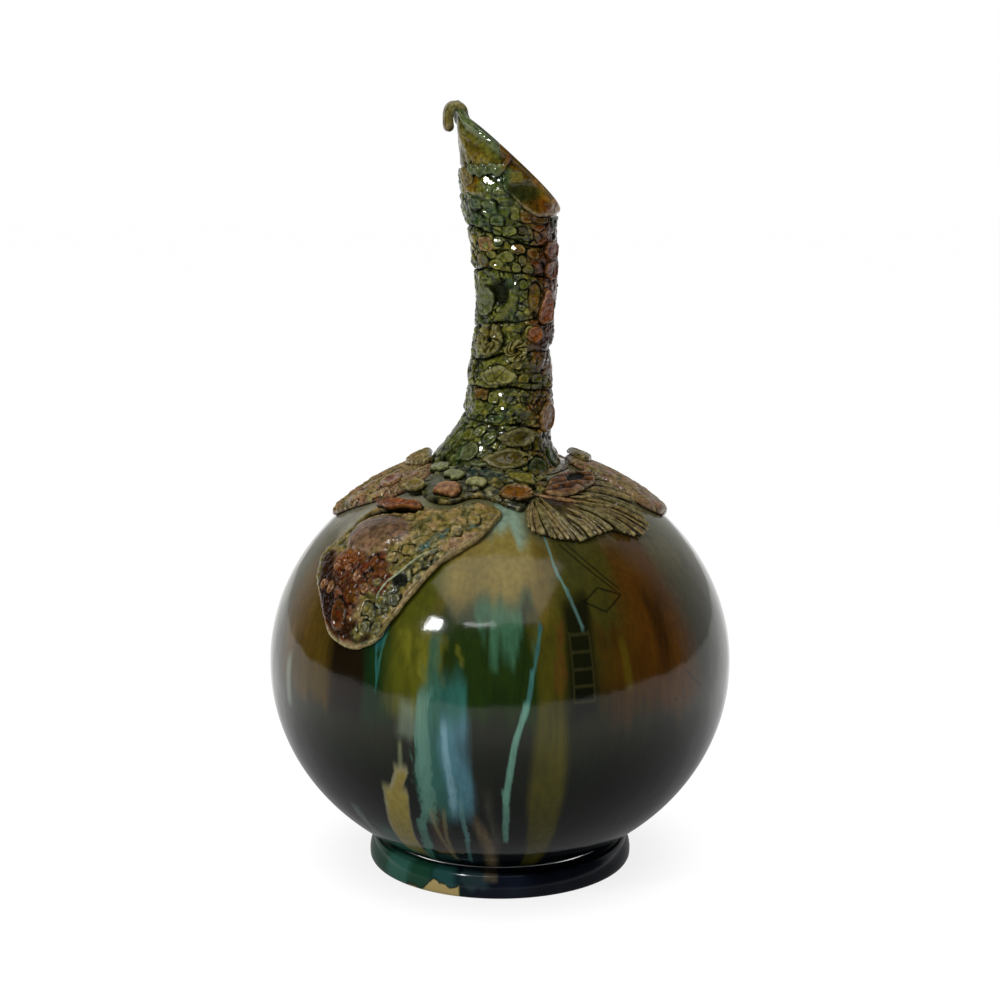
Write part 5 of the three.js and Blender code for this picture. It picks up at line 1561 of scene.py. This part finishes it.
for name, relief, slot, base, thickness, seed in [
        ("root_skirt", skirt_relief, "slab_glaze", 0.1, 3.4, 2),
        ("left_wing_slab", wing_relief, "slab_glaze", 0.1, 3.2, 3),
        ("left_back_slab", rough_relief, "slab_glaze", 0.1, 3.4, 4),
        ("fan_slab", fan_relief, "slab_glaze", 0.1, 3.2, 5),
        ("right_back_slab", rough_relief, "slab_glaze", 0.1, 3.4, 6),
        ("rear_slab", rough_relief, "slab_glaze", 0.1, 3.6, 7),
        ("folded_leaf", leaf_fold_relief, "amber_glaze", upper_layer, 2.6, 8),
        ("root_flap_left", flap_relief, "slab_glaze", upper_layer, 2.8, 9),
        ("root_flap_right", flap_relief, "slab_glaze", upper_layer, 2.8, 10)]:
    laid_slab(name, charted(outlines[name]), relief, slot, base, thickness, seed)

# Ribs and rolled edges
# Ridges of clay that follow a path over the slabs: the feather-like ribs combed into the fan, the
# rolled lower edge of the wing with the thin raised line inside it, and folds on the back slabs.


def ridge_group():
    """Round ridges of clay swept along the edges of the base mesh, thick by their own attribute."""
    group, given = new_group("clay_ridges", "GeometryNodeTree", [
        ("Geometry", "Geometry"), ("Sides", "Int"), ("Material", "Material")],
        ("Geometry", "Geometry"))
    thick = add(group, "GeometryNodeInputNamedAttribute", {"Name": "thick"}, data_type="FLOAT")
    line = add(group, "GeometryNodeMeshToCurve", {0: given["Geometry"]})
    line = add(group, "GeometryNodeSetCurveRadius", {0: line, "Radius": thick})
    ring = add(group, "GeometryNodeCurvePrimitiveCircle", {
        "Resolution": given["Sides"], "Radius": 1.0})
    sweep = add(group, "GeometryNodeCurveToMesh", {
        "Curve": line, "Profile Curve": ring, "Fill Caps": True})
    if "Scale" in sweep.node.inputs:
        group.links.new(thick, sweep.node.inputs["Scale"])
    return end_group(group, sweep, given["Material"])


ridge_tree = ridge_group()
ridge_sides = 10


def ridges(name, paths):
    """One piece of many ridges. A path gives flat places, stand, thickness and its layers."""
    points, edges = [], []
    layers = {key: [] for key in ("thick",) + layer_names}
    for path in paths:
        x, y = path["flat"].T
        first = len(points)
        points += on_globe(x, y, path["stand"] + 0 * x).tolist()
        edges += [(first + i, first + i + 1) for i in range(len(x) - 1)]
        for key, values in layers.items():
            value = np.broadcast_to(path.get(key, 0.0), x.shape)
            values += (value / 1000 if key == "thick" else value).tolist()
    base = bpy.data.meshes.new(name + "_paths")
    base.from_pydata((np.array(points) / 1000).tolist(), edges, [])
    for key, values in layers.items():
        base.attributes.new(key, "FLOAT", "POINT").data.foreach_set(
            "value", np.array(values, np.float32))
    made = grown(name, ridge_tree, {"Sides": ridge_sides, "Material": slab_glaze}, base)
    tidy_mesh(made)
    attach(made, "root")


# ribs of the fan, which spread from the fold beside the neck to its ragged lower edge
fan_edge = cut_outline(charted(outlines["fan_slab"]), 0.4, edge_wave, 5)
hub = chart(15.5, 63.5)
ribs = []
rib_count, front_ribs = 46, 16  # the front ones start nearer the hub
first_way, spread_ways = -90, 138  # degrees, from straight down round to the right
ridge_points = 30
for k in range(rib_count):
    front = k < front_ribs
    angle = math.radians(first_way + spread_ways * k / (rib_count - 1) + 1.2 * math.sin(k * 2.3))
    way = np.array([math.cos(angle), math.sin(angle)])
    side = np.array([-way[1], way[0]])
    ahead = (fan_edge - hub) @ way
    off = np.abs((fan_edge - hub) @ side)
    reach = ahead[(off < 1.5) & (ahead > 8)].max(initial=18) + 0.2
    start = 10 + 3.5 * math.sin(k * 1.7) + (0 if front else 13)
    share = np.linspace(0, 1, ridge_points)
    bend = 1.4 * np.sin(share * math.pi) * (-0.6 if front else 1)
    flat = hub + (start + (reach - start) * share)[:, None] * way + bend[:, None] * side
    thick = (0.8 + 0.25 * math.sin(k * 3.1)) * np.clip(share * 3 + 0.25, 0, 1) * np.clip(
        (1.12 - share) * 7, 0.35, 1) * (1 + 0.12 * np.sin(share * 25 + k))
    ribs.append({"flat": flat, "stand": 2.75 + 0.5 * np.sin(share * 2.6 + k), "thick": thick,
                 "rim": 0.3 + 0.4 * share, "pale": 0.6, "tone": 0.3 + 0.2 * math.sin(k * 1.9),
                 "warm": 0.45 + 0.07 * math.sin(k * 0.7)})
# the two lips of the slit pocket, and the torn edge over the cavity behind it
tapered = np.sin(np.linspace(0.3, 2.84, ridge_points))  # thin at both ends
for line, thick, warm in (
        ([(33, 59.6), (40, 58.8), (47, 58.4), (53, 57.6)], 0.9, 0.5),
        ([(36, 57.6), (43, 55.6), (49, 54.2), (54, 54.4), (56, 56.4)], 0.8, 0.45),
        ([(29, 64.4), (38, 64.6), (46, 65), (56, 65.8), (60, 67)], 0.9, 0.62),
        ([(17, 61.5), (24, 59.8), (31, 58.4), (36, 57)], 1.2, 0.7)):
    ribs.append({"flat": eased(charted(line), ridge_points), "stand": 3.3,
                 "thick": thick * tapered, "rim": 0.7, "pale": 0.7, "tone": 0.6, "warm": warm})
ridges("fan_ribs", ribs)

# the wing's rolled lower edge, thick at the right and thinner round the left end, with the fine
# pale line that runs inside it from the middle down to the last scales
lower_edge = [(0.5, 56), (-6, 49.1), (-12.2, 44.6), (-17.8, 40.5), (-22, 34.6), (-25, 29.6),
              (-28, 24), (-30.8, 19.8), (-36.6, 16.9), (-43.6, 18.2), (-47.4, 21.4), (-52.2, 26),
              (-59, 31.4), (-62.8, 37), (-57.4, 43), (-55, 47)]
edge_points, line_points = 150, 70
flat = eased(charted(lower_edge), edge_points)
share = np.linspace(0, 1, edge_points)
rolled = [{"flat": flat, "stand": 2.5 - 0.7 * smooth(share, 0.45, 0.6), "pale": 0.85,
           "thick": (1.35 - 0.75 * smooth(share, 0.3, 0.55)) * np.clip(share * 12 + 0.3, 0, 1)
           * np.clip((1.03 - share) * 9, 0, 1) * (1 + 0.12 * np.sin(share * 90)),
           "rim": 0.25 + 0.65 * smooth(share, 0.5, 0.62), "tone": 0.45 + 0.15 * np.sin(share * 60),
           "warm": 0.5 - 0.25 * smooth(share, 0.35, 0.5)}]
inner_line = [(-19.6, 43.6), (-21.6, 42.9), (-25.1, 40.6), (-29, 36.2), (-31.6, 33.5),
              (-33, 30.3), (-32.6, 28), (-30.7, 26.4)]
flat = eased(charted(inner_line), line_points)
tapered = np.sin(np.linspace(0.3, 2.84, line_points))
rolled.append({"flat": flat, "stand": 3.3, "thick": 0.55 * tapered,
               "rim": 1.0, "pale": 1.0, "tone": 0.6, "warm": 0.1})
ridges("wing_rolled_edge", rolled)

# dragged folds along the right back slab, the left back slab and the rear slab
folds = []
for k, (start, end) in enumerate([
        ((80, 71), (80, 50)), ((86, 71.5), (84.5, 47.6)), ((92, 72), (90, 46.4)),
        ((98, 72), (95.5, 46.2)), ((104, 71.5), (101, 47.6)), ((110, 71), (107, 50)),
        ((116, 70), (114, 54)), ((-58, 70), (-66, 60)), ((-64, 71.5), (-74, 60)),
        ((-72, 72), (-82, 62)), ((170, 73), (160, 53)), ((180, 73.5), (174, 51)),
        ((190, 73), (188, 52)), ((200, 72), (201, 54))]):
    flat = np.linspace(chart(*start), chart(*end), ridge_points)
    share = np.linspace(0, 1, ridge_points)
    run = flat[-1] - flat[0]
    side = np.array([-run[1], run[0]]) / np.linalg.norm(run)
    flat = flat + (1.3 * np.sin(share * 7 + k * 2.1))[:, None] * side
    folds.append({"flat": flat, "stand": 3.0 + 0.4 * np.sin(share * 9 + k),
                  "thick": 1.15 * np.sin(np.clip(share * 2.9 + 0.2, 0, 3.05)),
                  "rim": 0.6 + 0.2 * np.sin(share * 11), "pale": 0.55, "tone": 0.45,
                  "warm": 0.5 + 0.1 * math.sin(k)})
ridges("back_slab_folds", folds)

# Single scales
# Small pellets of clay, each pressed flat to a scale, eye, half moon or rosette and stuck on with
# slip. Their middles are sunk and hold amber glaze; their rims are wiped nearly bare.

scale_glaze = skin_material(
    "amber_glaze_on_pressed_scales",
    [(0.0, "#4f5c44"), (0.2, "#5f6330"), (0.4, "#64591a"), (0.6, "#714c12"), (0.8, "#7b3f12"),
     (1.0, "#57210d")],
    [(0.0, "#7f8a62"), (0.5, "#96905c"), (1.0, "#9a6f44")], "#0a0c05", 0.08, 0.35, wander=0.2)


def crescent(u, v):
    """A disc with a flat top and a notch in its lower edge."""
    notch = 2.2 - np.hypot((u + 0.35) * 1.9, (v + 1.2) * 1.7)
    return np.maximum(np.maximum(np.hypot(u, v), v / 0.7 + 0.15 * u), notch)


def wedge(u, v):
    """A quarter of a disc with its corner at the upper right."""
    return np.maximum(np.maximum(v / 0.8 + 0.1 * u, u), np.hypot((u - 0.9) / 1.9,
                                                                 (v - 0.75) / 1.75))


def shard(u, v):
    """A broken flake with straight slanting sides."""
    return np.maximum(np.maximum(np.abs(u * 0.9 + v * 0.35), np.abs(v)), np.abs(u * 0.7 - v * 0.6))


def boat(u, v):
    """A slice, pointed at both ends and cut nearly straight below."""
    return np.maximum(np.abs(v + 0.1) + np.abs(u) ** 1.6, -1.3 * v + 0.35 * u)


def ridge_fold(u, v):
    """A long oval fold with a waving edge."""
    return np.hypot(u, v * (1 + 0.25 * np.sin(u * 5)))


def on_band(x, y, stand):
    """Points on the neck, for a place x round the girth in millimetres."""
    return on_neck(x / girth_scale, y, stand)


scale_sides, scale_rings = 96, 26
halvings, beyond = 30, 2.0  # a radius outside every form
scale_root = 0.9  # how far the underside of a scale reaches into the clay under it


def reach_of(form, around):
    """The radius at which a form's outline is met in each direction, by halving."""
    near, far = np.zeros(len(around)), np.full(len(around), beyond)
    for _ in range(halvings):
        between = (near + far) / 2
        out = form(between * np.cos(around), between * np.sin(around)) > 1
        near, far = np.where(out, near, between), np.where(out, between, far)
    return near


def scale(name, place, middle, size, form, look, stand, base, turn=0, replaces=True):
    """One scale as a closed disc that follows the surface it is stuck on."""
    around = np.linspace(0, 2 * math.pi, scale_sides, endpoint=False)
    ragged = 1 + 0.03 * np.sin(5 * around + size[0]) + 0.02 * np.sin(11 * around + size[1])
    reach = reach_of(form, around) * ragged
    t = np.linspace(0, 1, scale_rings)[:, None]  # 0 in the middle and 1 at the edge
    u, v = t * reach * np.cos(around), t * reach * np.sin(around)
    cosine, sine = math.cos(math.radians(turn)), math.sin(math.radians(turn))
    x = middle[0] + (u * size[0] * cosine - v * size[1] * sine) / 2
    y = middle[1] + (u * size[0] * sine + v * size[1] * cosine) / 2
    sunk, rim_width = look.get("sunk", 0.45), look.get("rim", 0.22)
    edge = np.sqrt(np.clip(1 - np.clip((t - 0.8) / 0.2, 0, 1) ** 2, 0, 1))
    inner = smooth(t, 1 - rim_width * 0.6, 1 - rim_width * 1.6)
    rise = edge * (1 - sunk * inner * (0.75 + 0.25 * (1 - t)))
    clay = {"stand": rise * stand, "groove": smooth(t, 0.93, 1.0) * 0.9 + 0 * u,
            "rim": (1 - inner) + 0 * u, "tone": look.get("tone", 0.5) + 0 * u,
            "warm": look.get("warm", 0.5) + 0 * u, "pale": look.get("pale", 0.6) + 0 * u}
    texture = cloud(x, y, 1.5, 151) - 0.5
    clay["stand"] = clay["stand"] + 0.25 * texture * edge
    clay["tone"] = clay["tone"] + 0.4 * texture
    for hu, hv, hole in look.get("holes", []):
        off = np.hypot((u - hu) * size[0], (v - hv) * size[1]) / hole
        lay(clay, smooth(off, 2.4, 1.2), stand=0.1, groove=1.0)
        ring = np.exp(-((off - 2.9) / 0.7) ** 2)
        lay(clay, ring * 0.8, rim=1.0, pale=0.8, groove=0)
    if "petals" in look:  # clay petals folded over one another round a hollow
        spin = np.arctan2(v, u) + 1.2 * t + 2.4 * (cloud(x, y, 3.4, 161) - 0.5)
        petal = np.abs(np.sin(look["petals"] * spin / 2)) * smooth(cloud(x, y, 2.6, 163), 0, 0.6)
        lay(clay, smooth(petal, 0.35, 0.05) * smooth(t, 0.16, 0.3), groove=0.8, stand=0.2)
        clay["stand"] = clay["stand"] + 1.1 * petal * edge * smooth(t, 0.1, 0.4)
        lay(clay, smooth(petal, 0.75, 0.95) * 0.7, rim=0.9, pale=0.8)
        lay(clay, smooth(t, 0.3, 0.12), groove=0.9, stand=0.2)
    if "ribs" in look:
        wave = np.sin(look["ribs"] * (u * 0.6 - v))
        part = smooth(t, 0.45, 0.75) * smooth(u - v, -0.1, 0.5)
        clay["stand"] = clay["stand"] + 0.4 * wave * part * edge
        clay["groove"] = np.maximum(clay["groove"], smooth(wave, -0.5, -0.95) * part)
    if "cracks" in look:
        inside, own = crazed(x, y, look["cracks"], look["cracks"], 157)
        line = smooth(inside, 0.16, 0.03) * smooth(t, 0.95, 0.85)
        lay(clay, line * 0.7, groove=0.8)
        clay["tone"] = clay["tone"] + 0.3 * (own - 0.5)
    top = place(x, y, base + np.maximum(clay["stand"], 0.05))
    skirt = place(x[-1:], y[-1:], base - scale_root + 0 * x[-1:])
    foot = place(x[:1], y[:1], base - scale_root + 0 * x[:1])
    loops = np.concatenate([top, skirt, foot])
    layers = layered(clay, u.shape, (2, scale_sides), 0.5)
    made = loop_solid(name, loops, scale_glaze, layers, "points")
    rides(made, "scale_glaze", *([name] if replaces else []))


on_skin = 0.2  # how far off the neck's skin its scales begin
neck_scales = [  # name, azimuth, rise, width, height, form, stand, look
    ("eye_scale_upper", 19, 12.8, 19, 9.4, lens, 2.3,
     dict(warm=0.4, tone=0.1, pale=0.42, rim=0.42, sunk=0.6, holes=[(0.72, -0.18, 0.9)])),
    ("eye_scale_lower", 10, 3.2, 19, 9.6, lens, 2.3,
     dict(warm=0.42, tone=0.25, pale=0.45, rim=0.36, sunk=0.6, holes=[(0.66, -0.05, 1.2)])),
    ("green_oval_scale", -30, 6, 7, 8.6, oval, 2.0, dict(warm=0.12, tone=0.4, pale=0.35)),
    ("right_edge_oval", 59, 21, 12, 15, oval, 2.2, dict(warm=0.66, tone=0.5, pale=0.35)),
    ("lens_scale", -16, 42.4, 19.5, 11.5, boat, 2.2,
     dict(warm=0.3, tone=0.7, pale=0.7, sunk=0.1, rim=0.3, cracks=6.5)),
    ("rosette_left", -35, 59.5, 15, 16, oval, 1.8,
     dict(warm=0.38, tone=0.5, pale=0.5, petals=5, sunk=0.3)),
    ("rosette_right", 5, 54.5, 11.5, 11.5, oval, 1.9,
     dict(warm=0.38, tone=0.6, pale=0.6, petals=6, sunk=0.3)),
    ("orange_scale", 31, 62, 9, 8, oval, 1.8,
     dict(warm=0.75, tone=0.6, pale=0.4, cracks=3.4)),
    ("left_oval_scale", -49, 78, 12.4, 15, oval, 2.0,
     dict(warm=0.13, tone=0.5, pale=0.4, rim=0.14, sunk=0.15, holes=[(-0.1, -0.3, 0.8)])),
    ("pointed_scale", 50, 75, 12, 17, drop, 2.0,
     dict(warm=0.84, tone=0.6, pale=0.45, rim=0.16, sunk=0.4)),
    ("red_scale_lower", 58, 92.5, 11, 9.4, oval, 2.2, dict(warm=0.9, tone=0.3, pale=0.3)),
    ("red_scale_upper", 58, 102, 11, 9.4, oval, 2.2, dict(warm=0.88, tone=0.35, pale=0.3)),
    ("square_scale", -37, 105.5, 8, 7.2, tile, 1.5,
     dict(warm=0.6, tone=0.6, pale=0.6, rim=0.26)),
    ("mustard_pad", -60, 137.2, 11, 9.5, oval, 0.8,
     dict(warm=0.42, tone=0.6, pale=0.2, sunk=0.1, rim=0.1)),
]
for name, azimuth, rise, wide, high, form, stand, look in neck_scales:
    scale(name, on_band, (azimuth * girth_scale, rise), (wide, high), form, look, stand, on_skin)

shoulder_scales = [  # name, azimuth, latitude, width, height, turn, form, stand, look
    ("olive_half_moon", 13, 68, 12, 9, -8, wedge, 2.0,
     dict(warm=0.34, tone=1.1, pale=0.3, sunk=0.05, rim=0.08)),
    ("shell_scale", 8, 62, 16, 10.4, -4, oval, 2.4,
     dict(warm=0.66, tone=0.65, pale=0.5, ribs=13, rim=0.2)),
    ("bright_shard", -20, 75.5, 8, 6.2, -12, shard, 2.0,
     dict(warm=0.1, tone=0.7, pale=0.9, sunk=0.2)),
    ("cream_half_moon", -13.5, 65.6, 10.4, 6.4, -6, half_moon, 2.2,
     dict(warm=0.3, tone=1.1, pale=1.2, sunk=0.0, rim=1.2)),
    ("crescent_scale", -31, 69.0, 11, 9, -8, crescent, 1.8,
     dict(warm=0.18, tone=1.2, pale=0.6, sunk=0.0, rim=0.3)),
    ("pale_shard", -50, 71.5, 9.5, 7.5, 12, shard, 1.8,
     dict(warm=0.2, tone=1.1, pale=0.7, sunk=0.1, cracks=3.0)),
    ("pink_disc", -27, 61.8, 14.4, 9.6, -10, half_moon, 2.4,
     dict(warm=0.95, tone=0.6, pale=1.0, sunk=0.0, rim=1.2)),
    ("round_scale_inner", -47, 62.3, 11.5, 9, 0, oval, 2.2,
     dict(warm=0.45, tone=0.8, pale=0.8, rim=0.3, holes=[(0.0, 0.0, 0.6)])),
    ("round_scale_outer", -68, 61.4, 13.5, 11, 6, oval, 2.2,
     dict(warm=0.85, tone=0.5, pale=0.9, rim=0.5, sunk=0.4)),
    ("orange_ridge", -44, 55.0, 29, 5.2, 8, ridge_fold, 3.0,
     dict(warm=0.8, tone=0.6, pale=0.3, sunk=0.1, rim=0.2, cracks=5.0)),
]
slab_top = 3.4  # how far off the globe the scales on the slabs begin
for name, azimuth, latitude, wide, high, turn, form, stand, look in shoulder_scales:
    scale(name, on_globe, chart(azimuth, latitude), (wide, high), form, look, stand, slab_top,
          azimuth + turn)

# crumbs of clay pushed into the joint between the skirt and the fan
crumbs = [(17, 60.2, 3.6, 2.8, 20), (19.6, 62.4, 4.4, 3.2, 50), (22.6, 64.6, 3.8, 4.4, 10),
          (26, 66.6, 4.8, 3.4, -20), (25.5, 69, 4.6, 3.6, 30), (31, 70, 4.2, 3.8, 60),
          (29.5, 72.3, 4.4, 3.0, 0), (21.2, 66.3, 3.0, 2.6, 0)]
for k, (azimuth, latitude, wide, high, turn) in enumerate(crumbs):
    scale("joint_crumb_%d" % (k + 1), on_globe, chart(azimuth, latitude), (wide, high), shard,
          dict(warm=0.3 + 0.06 * (k % 4), tone=0.3 + 0.15 * (k % 3), pale=0.4, sunk=0.1),
          2.4, 0.1, azimuth + turn, replaces=False)
